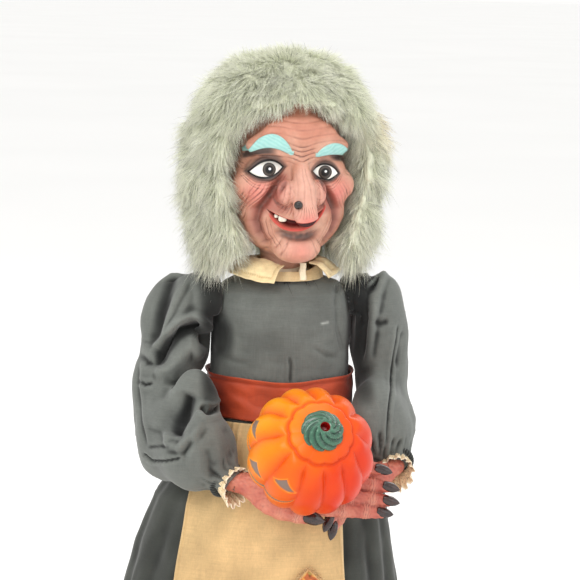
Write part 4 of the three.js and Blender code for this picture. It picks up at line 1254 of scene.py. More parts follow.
def creased(p, size, seed, stretch=(1, 1, 1)):
    """Sharp-edged folds of this size, about -1 to 1."""
    a = waves(p, size, seed, 10, stretch)
    b = waves(p, size * 0.7, seed + 1, 10, stretch)
    return 1 - 2.2 * np.abs(a) ** 0.8 + 0.25 * b


def cloth_paint(obj, base, dark, light, deep=0.42, high=0.35, rounds=(3, 14)):
    """Cloth that is darker in its folds, a painted shade, and lighter on its ridges, partly rubbed wear and
    partly a painted highlight.
    """
    near, far = hollowness(obj, rounds[0]), hollowness(obj, rounds[1])
    p = points_of(obj)
    colour = all_over(base, len(p)) * (1 + 0.05 * waves(p, 30, 51))[:, None]
    shade = clamp(near * 1.6) * 0.55 + clamp(far * 0.55) * 0.8
    colour = mixed(colour, dark, clamp(shade * deep * 2, 0, 0.92))
    rubbed_and_lit = clamp(-near * 1.8) * 0.6 + clamp(-far * 0.35) * 0.5
    return mixed(colour, light, clamp(rubbed_and_lit * high, 0, 0.6))


def woven(name, thread=1900, bumpy=0.35, rough=(0.72, 0.9), sheen=0.2, strength=0.16, tint=None):
    """Woven cloth over the painted colour: threads both ways, with slubs."""
    m = Nodes(name)
    up = m.noise(thread, 2, 0.6, m.place(scale=(1, 1, 0.04)))
    across = m.noise(thread, 2, 0.6, m.place(scale=(0.05, 0.05, 1)))
    slubs = m.noise(thread * 0.12, 4, 0.7, m.place(scale=(1, 1, 0.35)))
    weave = m.math("ADD", m.math("MULTIPLY", up, 0.5), m.math("MULTIPLY", across, 0.5))
    both = m.math("ADD", m.math("MULTIPLY", weave, 0.6), m.math("MULTIPLY", slubs, 0.4))
    tone = m.fit(both, 0.36, 0.64, 1 - strength, 1 + strength)
    colour = m.painted(tone)
    if tint is not None:
        patchy = m.fit(m.noise(22, 3, 0.5), 0.4, 0.7, 0.0, 0.14)
        colour = m.mix(patchy, colour, tint)
    normal = m.bump(weave, bumpy, 0.0005, m.bump(m.noise(90, 3, 0.6), 0.25, 0.0012))
    roughness = m.fit(slubs, 0.35, 0.65, rough[0], rough[1])
    return m.finish(Base_Color=colour, Roughness=roughness, Normal=normal, Sheen_Weight=sheen,
                    Sheen_Roughness=0.5, Specular_IOR_Level=0.25)


# Each sleeve's puffs, from the shoulder to the wrist, and one that hangs in front of the waist: middle,
# half sizes, and how softly it joins the ones before it.
RIGHT_PUFFS = [
    ((-87, 2, 374), (27, 32, 49), 0),
    ((-97, -4, 325), (24.5, 33, 42), 13),
    ((-92, -30, 292), (28, 35, 36), 12),
    ((-73, -62, 290), (31, 29, 33), 12),
    ((-73, -46, 320), (19, 18, 32), 8),
]
LEFT_PUFFS = [
    ((83.5, 2, 374), (22.5, 32, 49), 0),
    ((87, 4, 322), (21.5, 33, 46), 13),
    ((89, -17, 298), (20.5, 29, 31), 12),
    ((72, -40, 308), (18, 20, 31), 24),
]


SLEEVE_INNER = 58.4  # the sleeves' flat inner sides
SLEEVE_CAP = 48  # how far in a sleeve's head reaches over the shoulder
WRIST_RIGHT, WRIST_LEFT = (-47, -80, 268), (90.5, -46, 273)


def beside_bodice(p, side):
    """How deep a point lies in the room the bodice needs while the sleeve turns about the shoulder axle."""
    out = side * p[:, 0]
    before = 90 * ramp(-p[:, 1], 34, 40)
    reach = np.hypot(p[:, 1], p[:, 2] - SHOULDER_Z)
    clear = np.where(p[:, 2] > SHOULDER_Z, 27.0 - 0.9 * (out - SLEEVE_CAP), 200.0)
    room = np.minimum(SLEEVE_INNER - out - before, clear - reach)
    return np.maximum(room, SLEEVE_CAP - out - before)


def sleeve_field(puffs, wrist):
    side = np.sign(puffs[0][0][0])
    start = np.array(puffs[-2][0], float)

    def field(p):
        d = None
        for centre, radii, k in puffs:
            part = ellipsoid(p, centre, radii)
            d = part if d is None else blend_min(d, part, k)
        d = blend_min(d, capsule(p, start, wrist, 20, 11.5), 10)
        d = blend_min(d, ellipsoid(p, (side * 69, -1, 384), (13, 30, 38)), 8)
        d = blend_min(d, ellipsoid(p, (side * 60, 0, 401), (14.5, 28, 23)), 6)
        d = blend_max(d, beside_bodice(p, side), 1.5)
        return np.maximum(d, (p - wrist) @ unit(wrist - start) - 1.0)

    return field


def right_folds(p, n):
    u, v = seen_from_front(p)
    front = ramp(n @ VIEW_BACK, 0.0, 0.3)
    out = np.zeros(len(p))
    # The deep fold inside the elbow, under the upper sleeve's edge.
    out += fold(u, v, [(-105, 348), (-97, 350), (-88, 360), (-77, 370), (-70, 373), (-62, 366), (-52, 357)],
                15.0, 5.8, 0.10, 0.5)
    # A broad hollow down the upper sleeve, with a ridge beside it.
    out += fold(u, v, [(-84, 430), (-92, 408), (-100, 382), (-103, 360), (-102, 350)], 7.4, 8.6, 0.18)
    out += -0.75 * fold(u, v, [(-76, 412), (-84, 396), (-92, 378), (-98, 364)], 3.2, 2.4, 0.2)
    # The round hollow on the forearm, with its rolled lower edge.
    out += fold(u, v, [(-69, 322), (-74, 308), (-80, 295), (-82, 286)], 9.5, 7.0, 0.16)
    out += -0.8 * fold(u, v, [(-88, 296), (-85, 281), (-77, 279), (-66, 288), (-58, 300)], 3.4, 2.6, 0.2)
    out += fold(u, v, [(-62, 311), (-56, 306), (-48, 308), (-42, 313)], 5.5, 2.4, 0.12)
    out += fold(u, v, [(-58, 301), (-66, 290), (-72, 274), (-70, 266)], 1.6, 2.4, 0.25)
    # Small creases on the outer side, and the sewn tuck near the elbow.
    out += fold(u, v, [(-116, 328), (-108, 325), (-100, 327)], 1.8, 1.7, 0.3)
    out += fold(u, v, [(-117, 352), (-108, 343), (-96, 342), (-84, 350)], 2.8, 3.2, 0.25)
    out += fold(u, v, [(-114, 350), (-115, 326), (-110, 300), (-103, 274)], 1.6, 1.6, 0.15)
    out += fold(u, v, [(-108, 271), (-98, 266), (-86, 268), (-74, 271)], 2.0, 1.2, 0.10, 0.3)
    out += fold(u, v, [(-104, 276), (-94, 278), (-80, 280)], 1.0, 1.5, 0.2)
    out += fold(u, v, [(-56, 284), (-50, 262), (-40, 250)], 1.5, 4.0, 0.25)
    out += fold(u, v, [(-42, 300), (-36, 284), (-33, 268)], 2.0, 4.5, 0.25)
    return out * front


# The upper and lower ends of the gathers above the left wrist.
WRIST_GATHERS = [
    ((82, 296), (84, 266)),
    ((95, 292), (90, 262)),
    ((74, 290), (80, 268)),
    ((100, 288), (94, 266)),
]


def left_folds(p, n):
    u, v = seen_from_front(p)
    front = ramp(n @ VIEW_BACK, -0.1, 0.25)
    out = np.zeros(len(p))
    # The sleeve head's pleat: the cloth behind it lies in shadow.
    out -= 1.8 * fold(u, v, [(86, 424), (79, 402), (75, 380), (73, 362), (72, 346)], 1.0, 2.6, 0.12)
    edge = np.interp(v, [345, 372, 400, 425], [70, 71, 76, 84])
    facing = ramp(n @ VIEW_BACK, 0.25, 0.75)
    out -= 6.0 * ramp(edge - u, 0, 3.5) * ramp(v, 340, 362) * ramp(434 - v, 0, 10) * facing
    out += fold(u, v, [(96, 430), (86, 424), (76, 420), (69, 412)], 4.2, 1.9, 0.2, 0.3)
    out += fold(u, v, [(90, 382), (82, 379), (73, 381)], 1.8, 3.0, 0.3)
    # The long seam down the outer side.
    out += fold(u, v, [(97, 380), (93, 356), (91, 322), (88, 288), (86, 262)], 1.7, 1.3, 0.06)
    out += fold(u, v, [(101, 378), (98, 362), (96, 340)], 2.4, 3.0, 0.25)
    out += fold(u, v, [(76, 350), (70, 330), (70, 306)], 1.6, 6.0, 0.3)
    # Gathers into the wrist.
    for a, b in WRIST_GATHERS:
        out += fold(u, v, [a, b], 2.2, 2.0, 0.35)
    return out * front


def wrist_gathers(p, wrist, way):
    """Small gathers that run into the wrist."""
    across = unit(np.cross(way, (0, 0, 1)))
    other = np.cross(way, across)
    turn = np.arctan2((p - wrist) @ other, (p - wrist) @ across)
    return 1.5 * (groove(turn * 11 / (2 * np.pi) + 0.3 * waves(p, 12, 66), 1.0) - 0.6)


def make_sleeve(word, puffs, wrist, folds, material):
    wrist = np.array(wrist, float)
    field = sleeve_field(puffs, wrist)
    step = 2.9
    sign = -1 if word == "right" else 1
    low = (-128, -100, 246) if word == "right" else (42, -70, 250)
    high = (-18, 44, 432) if word == "right" else (118, 44, 432)
    vertices, quads = net(field, low, high, step)
    sleeve = mesh_object("sleeve_" + word + "_cloth", vertices, quads)
    finer(sleeve, lambda p: p[:, 2] > 0)
    p, n = settle(field, points_of(sleeve))
    to_wrist = np.linalg.norm(p - wrist, axis=1)
    quiet = ramp(to_wrist, 10, 24)
    inner = ramp(sign * p[:, 0], 61, 68)
    out = folds(p, n)
    back = ramp(-(n @ VIEW_BACK), -0.2, 0.3)
    out += back * (1.9 * creased(p, 42, 61 + sign, (1, 1, 0.7)) - 1.0) * inner
    out += 0.16 * waves(p, 13, 63, stretch=(1, 1, 1.5)) * inner + 0.9 * waves(p, 34, 65)
    way = unit(wrist - np.array(puffs[-2][0]))
    out += wrist_gathers(p, wrist, way) * ramp(30 - to_wrist, 0, 16)
    p = p + n * (out * (0.25 + 0.75 * quiet))[:, None]
    # The flat inner side keeps clear of the bodice.
    gap = 58.2 - sign * p[:, 0]
    keep = (gap > 0) & (p[:, 1] > -34) & (beside_bodice(p, sign) > 0)
    p[keep, 0] += sign * gap[keep]
    move_points(sleeve, p)
    colour = cloth_paint(sleeve, CLOTH, CLOTH_DARK, CLOTH_LIGHT, 0.46, 0.3, (8, 24))
    # Painted shade in the deepest folds.
    colour = mixed(colour, (10, 11, 11), 0.9 * ramp(-out, 2.6, 8.5) * quiet)
    # Painted shade on the sleeve's inner side, next to the bodice.
    colour = mixed(colour, (12, 13, 13), 0.88 * ramp(74 - sign * p[:, 0], 0, 12) * ramp(p[:, 2], 318, 340))
    paint(sleeve, colour)
    dress(sleeve, material)
    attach(sleeve, "arms")
    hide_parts("sleeve_" + word)
    return sleeve


def fix_normals(obj):
    work = bmesh.new()
    work.from_mesh(obj.data)
    bmesh.ops.recalc_face_normals(work, faces=work.faces)
    work.to_mesh(obj.data)
    work.free()


def ring_normals(grid):
    """Outward directions of stacked rings."""
    n = grid_normals(grid, True)
    return -n if (n[:, :, :2] * grid[:, :, :2]).sum() < 0 else n


def grid_normals(grid, closed):
    down = np.gradient(grid, axis=0)
    if closed:
        across = (np.roll(grid, -1, 1) - np.roll(grid, 1, 1)) / 2
    else:
        across = np.gradient(grid, axis=1)
    n = np.cross(down, across)
    return n / (np.linalg.norm(n, axis=2)[..., None] + 1e-9)


def cloth_shell(name, grid, thickness, closed=False, outward=(0, 0, 0)):
    """A closed thin body round a grid of points. outward is a point on its hidden side."""
    rows, columns = grid.shape[:2]
    n = grid_normals(grid, closed)
    if (n * (grid - np.asarray(outward, float))).sum() < 0:
        n = -n
    outer, inner = grid, grid - n * thickness
    points = np.concatenate([outer.reshape(-1, 3), inner.reshape(-1, 3)])
    count = rows * columns
    faces = grid_faces(rows, columns, closed)
    every = [faces, faces[:, ::-1] + count]
    top, low = np.arange(columns), (rows - 1) * columns + np.arange(columns)
    rims = [(top, False), (low, True)]
    if not closed:
        rims += [(np.arange(rows) * columns, True), (np.arange(rows) * columns + columns - 1, False)]
    for line, flip in rims:
        a, b = (line, np.roll(line, -1)) if closed else (line[:-1], line[1:])
        rim = np.stack([a, b, b + count, a + count], 1)
        every.append(rim[:, ::-1] if flip else rim)
    made = mesh_object(name, points, every)
    fix_normals(made)
    return made


def ring_grid(levels, z, turns, offset=0.0):
    """Points on stacked ellipses: rows go down, columns go round from the figure's left."""
    values = [np.interp(z, levels[:, 0], column) for column in levels.T[1:]]
    half, deep = values[0] + offset, values[1] + offset
    shift = values[2] if len(values) > 2 else np.zeros(len(z))
    x = half[:, None] * np.cos(turns)[None] + shift[:, None]
    y = deep[:, None] * np.sin(turns)[None]
    return np.stack([x, y, np.repeat(z[:, None], len(turns), 1)], 2)


def skirt_folds(turns, z):
    """How far in the skirt folds, in millimetres: nothing at the waist and most at the hem."""
    deep = 0.8 + 8.5 * ramp(300 - z, 0, 240)[:, None]
    wander = 0.25 * np.sin(turns * 3 + 1.2) + 0.18 * np.sin(turns * 5 + 4)
    main = 0.5 + 0.5 * np.cos(17 * (turns + wander * 0.4) + 1.1)
    second = 0.5 + 0.5 * np.cos(11 * (turns - wander * 0.3) + 2.3)
    amount = 0.62 * main ** 1.6 + 0.38 * second ** 1.4
    gathers = 0.5 + 0.5 * np.cos(64 * turns + 2.2 * np.sin(turns * 9))
    gathered = (1.1 * ramp(z, 250, 300) * (1 - ramp(z, 304, 308)))[:, None]
    return deep * amount[None] + gathered * gathers[None]


def make_skirt(material):
    columns = 330
    z = np.concatenate([np.linspace(308, 250, 22), np.linspace(247, 16, 66), [14.6, 14.0]])
    turns = np.linspace(0, 2 * np.pi, columns, endpoint=False)
    grid = ring_grid(SKIRT, z, turns)
    n = ring_normals(grid)
    folded = skirt_folds(turns, z)
    flat = grid.reshape(-1, 3)
    soft = 0.8 * waves(flat, 45, 71, stretch=(1, 1, 2)) + 0.35 * waves(flat, 15, 72, stretch=(1, 1, 2))
    out = -folded + soft.reshape(folded.shape) * ramp(300 - z, 0, 60)[:, None]
    grid = grid + n * np.minimum(out, 0.0)[..., None]
    skirt = cloth_shell("skirt_cloth", grid, 1.2, True, (0, 0, 160))
    paint(skirt, cloth_paint(skirt, (54, 56, 52), (10, 11, 10), (96, 98, 92), 0.36, 0.3, (4, 26)))
    dress(skirt, material)
    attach(skirt, "stand")
    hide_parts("skirt")


def make_bodice(material):
    columns = 330
    z = np.concatenate([[423.0, 422.5], np.linspace(421.6, 311, 96)])
    turns = np.linspace(0, 2 * np.pi, columns, endpoint=False)
    grid = ring_grid(BODICE, z, turns)
    n = ring_normals(grid)
    p = grid.reshape(-1, 3)
    x, y, zz = p.T
    u, v = seen_from_front(p)
    front = ramp(-y, 5, 25)
    out = 0.5 * waves(p, 40, 73) + 0.22 * waves(p, 12, 74, stretch=(1.6, 1.6, 1))
    out += fold(u, v, [(8, 352), (9.5, 342), (9, 333), (9, 326)], 2.6, 1.3, 0.3) * front
    out += fold(u, v, [(-54, 388), (-48, 382), (-44, 370), (-45, 356), (-53, 346)], 1.4, 3.2, 0.2) * front
    out += fold(u, v, [(-52, 352), (-38, 346), (-22, 344)], 0.9, 2.6, 0.3) * front
    out += fold(u, v, [(24, 360), (38, 352), (50, 350)], 0.8, 2.2, 0.3) * front
    out += fold(u, v, [(46, 416), (44, 396), (47, 372), (53, 352)], 1.4, 2.2, 0.2) * front
    gathers = groove(np.arctan2(y, x) * 44 / (2 * np.pi) + 0.5 * waves(p, 20, 75), 1.2)
    out -= 0.9 * gathers * ramp(336 - zz, -12, 2)
    grid = (p + n.reshape(-1, 3) * clamp(out, -1.4, 1.1)[:, None]).reshape(grid.shape)
    bodice = cloth_shell("bodice_cloth", grid, 1.2, True, (0, 0, 366))
    colour = cloth_paint(bodice, CLOTH, CLOTH_DARK, CLOTH_LIGHT, 0.30, 0.25, (3, 18))
    q = points_of(bodice)
    # Painted shade on the bodice's sides under the sleeves.
    colour = mixed(colour, (20, 21, 21), 0.8 * ramp(np.abs(q[:, 0]), 50, 57) * ramp(404 - q[:, 2], 0, 24))
    # A painted shadow in the right armhole, at the front.
    armhole_shadow = np.hypot((q[:, 0] + 52) / 12, (q[:, 2] - 373) / 21)
    colour = mixed(colour, (12, 13, 13), 0.86 * ramp(1.15 - armhole_shadow, 0, 0.8) * (q[:, 1] < 0))
    from_scuff = q[:, 0] - 31
    scuff = bell((q[:, 2] - 388 - 0.12 * from_scuff) / 0.9, 1) * ramp(4.2 - np.abs(from_scuff), 0, 1.5)
    colour = mixed(colour, (196, 198, 192), 0.6 * scuff * (q[:, 1] < 0))
    paint(bodice, colour)
    dress(bodice, material)
    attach(bodice, "stand")
    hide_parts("bodice")


def ring_tube(name, ring, size, out, up, corners):
    """A closed tube along a ring of points, with the directions across it and how thick it is at each."""
    around = np.linspace(0, 2 * np.pi, corners, endpoint=False)
    tube = ring[:, None] + size[:, None, None] * (
        out[:, None] * np.cos(around)[None, :, None] + up * np.sin(around)[None, :, None])
    row = np.arange(corners)
    after = (row + 1) % corners
    low = (len(ring) - 1) * corners
    last = np.stack([low + row, low + after, after, row], 1)
    faces = np.concatenate([grid_faces(len(ring), corners, True), last])
    made = mesh_object(name, tube.reshape(-1, 3), faces)
    fix_normals(made)
    return made


def make_neckline():
    """A dark bound edge round the neck, with loose threads at the figure's left."""
    turns = np.linspace(0, 2 * np.pi, 220, endpoint=False)
    ring = ring_grid(BODICE, np.array([422.0]), turns, 0.6)[0]
    ring[:, 2] += 0.8 * waves(ring, 16, 76)
    out = ring / np.linalg.norm(ring * [1, 1, 0], axis=1)[:, None] * [1, 1, 0]
    size = 1.5 + 0.35 * waves(ring, 5, 77)
    made = ring_tube("neckline_binding", ring, size, out, np.array([0, 0, 1.0]), 8)
    paint(made, all_over((34, 35, 33), len(made.data.vertices)))
    dress(made, woven("binding", 2600, strength=0.3))
    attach(made, "stand")
    rng = np.random.default_rng(77)
    count = 46
    place = rng.uniform(-0.62, -0.30, count) * np.pi
    roots = ring_grid(BODICE, np.array([421.0]), place, 1.0)[0]
    way = unit([0.3, -0.5, -0.8]) + 0.55 * rng.normal(size=(count, 3))
    length = rng.uniform(3, 11, count)
    bend = np.array([0, 0, -0.5]) + 0.4 * rng.normal(size=(count, 3))
    radii = [np.full(count, radius) for radius in (0.2, 0.2, 0.18, 0.16)]
    dark = all_over((30, 31, 30), count)
    threads = loose_threads("neckline_threads", roots, way, length, bend, radii, dark,
                            made.data.materials[0])
    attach(threads, "stand")


def make_waistband():
    columns = 280
    rows = 40
    z = np.linspace(341.6, 308.6, rows)
    turns = np.linspace(0, 2 * np.pi, columns, endpoint=False)
    levels = np.array([[308, 61.0, 47.5], [320, 61.6, 48.0], [342, 60.4, 46.8]])
    grid = ring_grid(levels, z, turns)
    p = grid.reshape(-1, 3)
    n = ring_normals(grid)
    s = np.repeat(np.linspace(0, 1, rows), columns)
    out = 0.8 * waves(p, 18, 81, stretch=(2.5, 2.5, 0.8)) + 0.35 * waves(p, 7, 82, stretch=(3, 3, 1))
    out += 0.8 * bell((s - 0.03), 0.05) - 0.5 * bell(s - 0.12, 0.035) + 0.7 * bell(s - 0.97, 0.05)
    grid = (p + n.reshape(-1, 3) * clamp(out, -0.9, 1.8)[:, None]).reshape(grid.shape)
    rise = 2.2 * np.abs(np.cos(turns)) ** 2.0 + 0.7 * np.sin(turns * 5)
    grid[:, :, 2] += rise[None] * np.linspace(1, 0.2, rows)[:, None]
    band = cloth_shell("waistband_cloth", grid, 1.1, True, (0, 0, 325))
    colour = cloth_paint(band, (178, 70, 38), (92, 22, 10), (206, 104, 66), 0.35, 0.3, (2, 12))
    q = points_of(band)
    # Painted shade towards both sides, where the band turns away.
    colour = mixed(colour, (120, 38, 20), 0.75 * ramp(np.abs(q[:, 0]), 34, 54))
    paint(band, colour)
    dress(band, woven("waistband_satin", 2400, 0.25, (0.42, 0.6), 0.15, 0.10))
    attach(band, "stand")
    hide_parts("waistband")


# Height, the apron's right edge and its left edge in x.
APRON_EDGES = np.array([
    [72, -102, 57],
    [170, -90, 49],
    [240, -79, 45],
    [306.5, -60, 42],
], float)


def skirt_front(x, z, offset):
    """The point on the front of the skirt's smooth form at this x and height."""
    half, deep, shift = (np.interp(z, SKIRT[:, 0], column) for column in SKIRT.T[1:])
    half, deep = half + offset, deep + offset
    c = clamp((x - shift) / half, -0.999, 0.999)
    s = np.sqrt(1 - c * c)
    return np.stack([x, -deep * s, z], -1)


def make_apron():
    rows, columns = ((190, 150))
    z = np.linspace(306.5, 72, rows)
    t = np.linspace(0, 1, columns)
    low, high = (np.interp(z, APRON_EDGES[:, 0], column) for column in APRON_EDGES.T[1:])
    x = low[:, None] + (high - low)[:, None] * t[None]
    zz = np.repeat(z[:, None], columns, 1)
    x = x + 0.5 * np.sin(zz / 17) * (np.abs(t[None] - 0.5) * 2) ** 3
    grid = skirt_front(x, zz, 1.7)
    p = grid.reshape(-1, 3)
    down = ramp(300 - zz, 0, 150).ravel()
    tt = np.repeat(t[None], rows, 0).ravel()
    out = 1.5 * (0.5 + 0.5 * np.cos(2 * np.pi * (tt * 3.3 + 0.15 * np.sin(zz.ravel() / 60)) + 0.8)) * down
    out += 0.30 * waves(p, 26, 83, stretch=(1, 1, 2.2)) + 0.2
    gathers = groove(tt * 15 + 0.4 * waves(p, 22, 84, stretch=(1, 1, 4)), 1.2)
    out += 1.3 * gathers * ramp(zz.ravel(), 262, 300)
    hem = bell((zz.ravel() - 73.5) / 1.5, 1) + bell(tt - 0.004, 0.006) + bell(tt - 0.996, 0.006)
    seam = bell((zz.ravel() - 80) / 0.8, 1) + bell(tt - 0.016, 0.004) + bell(tt - 0.984, 0.004)
    out += 0.5 * hem - 0.35 * seam
    n = grid_normals(grid, False)
    if n[:, :, 1].mean() > 0:
        n = -n
    grid = (p + n.reshape(-1, 3) * np.maximum(out, 0)[:, None]).reshape(grid.shape)
    apron = cloth_shell("apron_cloth", grid, 0.9, False, (0, 40, 190))
    base = cloth_paint(apron, (206, 175, 126), (140, 106, 66), (226, 198, 152), 0.30, 0.25, (3, 16))
    q = points_of(apron)
    edge = np.interp(q[:, 2], APRON_EDGES[:, 0], APRON_EDGES[:, 2]) - q[:, 0]
    base = mixed(base, (242, 216, 170), 0.55 * ramp(2.2 - edge, 0, 0.8))
    # Random blotches, and darker towards the bottom.
    blotchy_and_darker_low = 0.25 * ramp(waves(q, 60, 85, stretch=(1, 1, 2)), 0.0, 1.6) + 0.3 * ramp(240 - q[:, 2], 0, 90)
    base = mixed(base, (186, 148, 102), blotchy_and_darker_low)
    paint(apron, base)
    dress(apron, woven("apron_linen", 1250, 0.5, (0.8, 0.95), 0.15, 0.13))
    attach(apron, "stand")
    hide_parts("apron")
    return apron


PATCH_MIDDLE = (17.0, 174.0)
PATCH_HALF = 22.0


def patch_place(a, b, offset):
    """A place on the patch, a and b from -1 to 1 along its two edges' directions."""
    x = PATCH_MIDDLE[0] + (a + b) / 2 * PATCH_HALF
    z = PATCH_MIDDLE[1] + (a - b) / 2 * PATCH_HALF
    return skirt_front(x, z, offset)


def patch_print(p, rim):
    """A small print of flowers and leaves in autumn colours, with a plain edge."""
    flowers = waves(p, 9, 87) + 0.6 * waves(p, 5, 88)
    leaves = waves(p, 7, 89)
    colour = all_over((176, 96, 58), len(p))
    colour = mixed(colour, (214, 152, 76), ramp(flowers, 0.4, 0.9))
    colour = mixed(colour, (120, 74, 40), ramp(-flowers, 0.4, 0.9))
    colour = mixed(colour, (156, 142, 76), 0.8 * ramp(leaves, 0.7, 1.1))
    colour = mixed(colour, (196, 92, 64), 0.7 * ramp(-leaves, 0.8, 1.2))
    return mixed(colour, (206, 172, 122), ramp(rim, 0.88, 0.95) * 0.8)


def make_fringe(material):
    """Tan threads that stand out from the patch's four edges."""
    rng = np.random.default_rng(87)
    count = 520
    t, edge = rng.uniform(-1, 1, count), rng.integers(0, 4, count)
    high, low = np.full(count, 0.97), np.full(count, -0.97)
    a = np.select([edge == 0, edge == 1, edge == 2], [high, low, t], t)
    b = np.select([edge == 0, edge == 1, edge == 2], [t, t, high], low)
    out_a = np.select([edge == 0, edge == 1], [1.0, -1.0], 0.0)
    out_b = np.select([edge == 2, edge == 3], [1.0, -1.0], 0.0)
    roots = patch_place(a, b, 4.0)
    way = np.stack([(out_a + out_b) / 2, np.full(count, -0.25), (out_a - out_b) / 2], 1)
    way = way + 0.22 * rng.normal(size=(count, 3))
    length = rng.uniform(1.5, 5.0, count)
    bend = np.array([0, 0, -0.15]) + 0.2 * rng.normal(size=(count, 3))
    tan = clamp(np.array([222, 186, 136]) + rng.normal(size=(count, 1)) * 16, 60, 240)
    radii = [np.full(count, 0.16)] * 4
    fringe = loose_threads("apron_patch_fringe", roots, way, length, bend, radii, tan, material)
    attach(fringe, "stand")
    return fringe


def make_patch(apron):
    size = 60
    a, b = np.meshgrid(np.linspace(-1, 1, size), np.linspace(-1, 1, size), indexing="ij")
    ripple = 0.35 * waves(np.stack([a, b, a * 0], -1).reshape(-1, 3) * 20, 9, 86).reshape(a.shape)
    grid = patch_place(a, b, 4.4 + ripple)
    patch = cloth_shell("apron_patch_cloth", grid, 0.8, False, (0, 60, 170))
    p = points_of(patch)
    u, v = p[:, 0] - PATCH_MIDDLE[0], p[:, 2] - PATCH_MIDDLE[1]
    a, b = (u + v) / PATCH_HALF, (u - v) / PATCH_HALF
    rim = np.maximum(np.abs(a), np.abs(b))
    paint(patch, patch_print(p, rim))
    dress(patch, woven("patch_print", 1500, 0.5, (0.75, 0.92), 0.15, 0.2))
    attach(patch, "stand")
    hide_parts("apron_patch")
    fringe = make_fringe(patch.data.materials[0])


def make_dress():
    material = woven("dress_cotton", tint=(112, 116, 108))
    make_sleeve("right", RIGHT_PUFFS, WRIST_RIGHT, right_folds, material)
    make_sleeve("left", LEFT_PUFFS, WRIST_LEFT, left_folds, material)
    make_bodice(material)
    make_neckline()
    make_skirt(material)
    make_waistband()
    make_patch(make_apron())


make_dress()
# ---- Hands with painted nails, lace cuffs and the collar ----
# Each finger: its middle line and the nail's end.
RIGHT_FINGERS = [
    ([(22, -74, 281), (46, -80, 282), (60, -85, 281), (70, -88.5, 279.5)], (80, -90.5, 277)),
    ([(24, -80, 270), (48, -85.5, 269.5), (65, -89, 267.5), (76, -91.5, 266)], (86, -93, 263.5)),
    ([(22, -87, 259), (46, -91, 258.5), (64, -92.5, 256.5), (76, -93, 255)], (86, -94, 253)),
    ([(16, -91, 249), (40, -94.5, 248.5), (58, -95, 247.5), (71, -94.5, 246)], (81, -95, 244)),
]
RIGHT_THUMB = ([(-18, -89, 256), (-8, -95, 250), (4, -99, 246.5), (12, -100.5, 244.5)], (25, -102.5, 241.5))
LEFT_FINGERS = [
    ([(54, -72, 262), (44, -79, 251), (37, -84.5, 244), (31, -90, 239.5)], (25.5, -95.5, 230.5)),
    ([(56, -69, 254), (46, -75, 244), (39, -82, 237.5), (34.5, -88, 232.5)], (31.5, -93, 223)),
    ([(58, -66, 262), (50, -67, 251), (43, -71, 244), (38, -76, 240)], (35, -81, 234)),
    ([(62, -64, 264), (54, -63, 254), (48, -65, 248), (43, -69, 244)], (40, -73, 239)),
]
FINGER_RADII = (6.1, 5.8, 5.5, 4.6)
HAND_PINK = (206, 128, 106)
HAND_PALE = (236, 190, 162)
HAND_DARK = (128, 62, 52)


def palm_frame(p, centre, way):
    x = unit(way)
    z = unit(PUMPKIN_STEM - (PUMPKIN_STEM @ x) * x)
    y = np.cross(z, x)
    return (p - np.asarray(centre, float)) @ np.stack([x, y, z]).T


def right_hand_field(p):
    d = ellipsoid(palm_frame(p, (0, -84, 261), (0.99, 0.05, 0.0)), (0, 0, 0), (33, 23, 8.5))
    d = blend_min(d, chain(p, [(-47, -78, 269), (-34, -84, 267), (-16, -86, 263)], (8.2, 8.8, 13)), 8)
    for path, _ in RIGHT_FINGERS:
        d = blend_min(d, chain(p, path, FINGER_RADII), 2.6)
    d = blend_min(d, chain(p, RIGHT_THUMB[0], (9.0, 7.8, 6.6, 5.2)), 4)
    return blend_max(d, -ellipsoid(p, PUMPKIN_CENTRE, (51.2, 51.2, 51.2)), 2)


def left_hand_field(p):
    d = ellipsoid(palm_frame(p, (62, -64, 262), (-0.874, -0.414, -0.2)), (0, 0, 0), (24, 15, 7))
    d = blend_min(d, chain(p, [(90.5, -47, 272), (74, -58, 266)], (7.8, 9.5)), 7)
    for path, _ in LEFT_FINGERS:
        d = blend_min(d, chain(p, path, (5.6, 5.1, 4.8, 3.9)), 2.6)
    return blend_max(d, -right_hand_field(p) + 0.8, 0.5)


def knuckle_lines(p, fingers):
    """Wrinkles across the fingers at their joints, and how near a joint each point is."""
    out, near_joint = np.zeros(len(p)), np.zeros(len(p))
    best = np.full(len(p), 1e9)
    for path, _ in fingers:
        path = np.array(path, float)
        for i in (1, 2):
            way = unit(path[i + 1] - path[i - 1])
            along = (p - path[i]) @ way
            off = np.linalg.norm(p - path[i] - along[:, None] * way, axis=1)
            here = bell(along, 3.6) * ramp(9.5 - off, 0, 3)
            lines = groove((along + 0.7 * waves(p, 6, 93)) / 2.1, 2.5)
            nearer = off < best
            out = np.where(nearer & (here > 0.05), -0.55 * lines * here + 0.4 * here, out)
            near_joint = np.maximum(near_joint, here)
            best = np.minimum(best, np.where(here > 0.05, off, 1e9))
    return out, near_joint


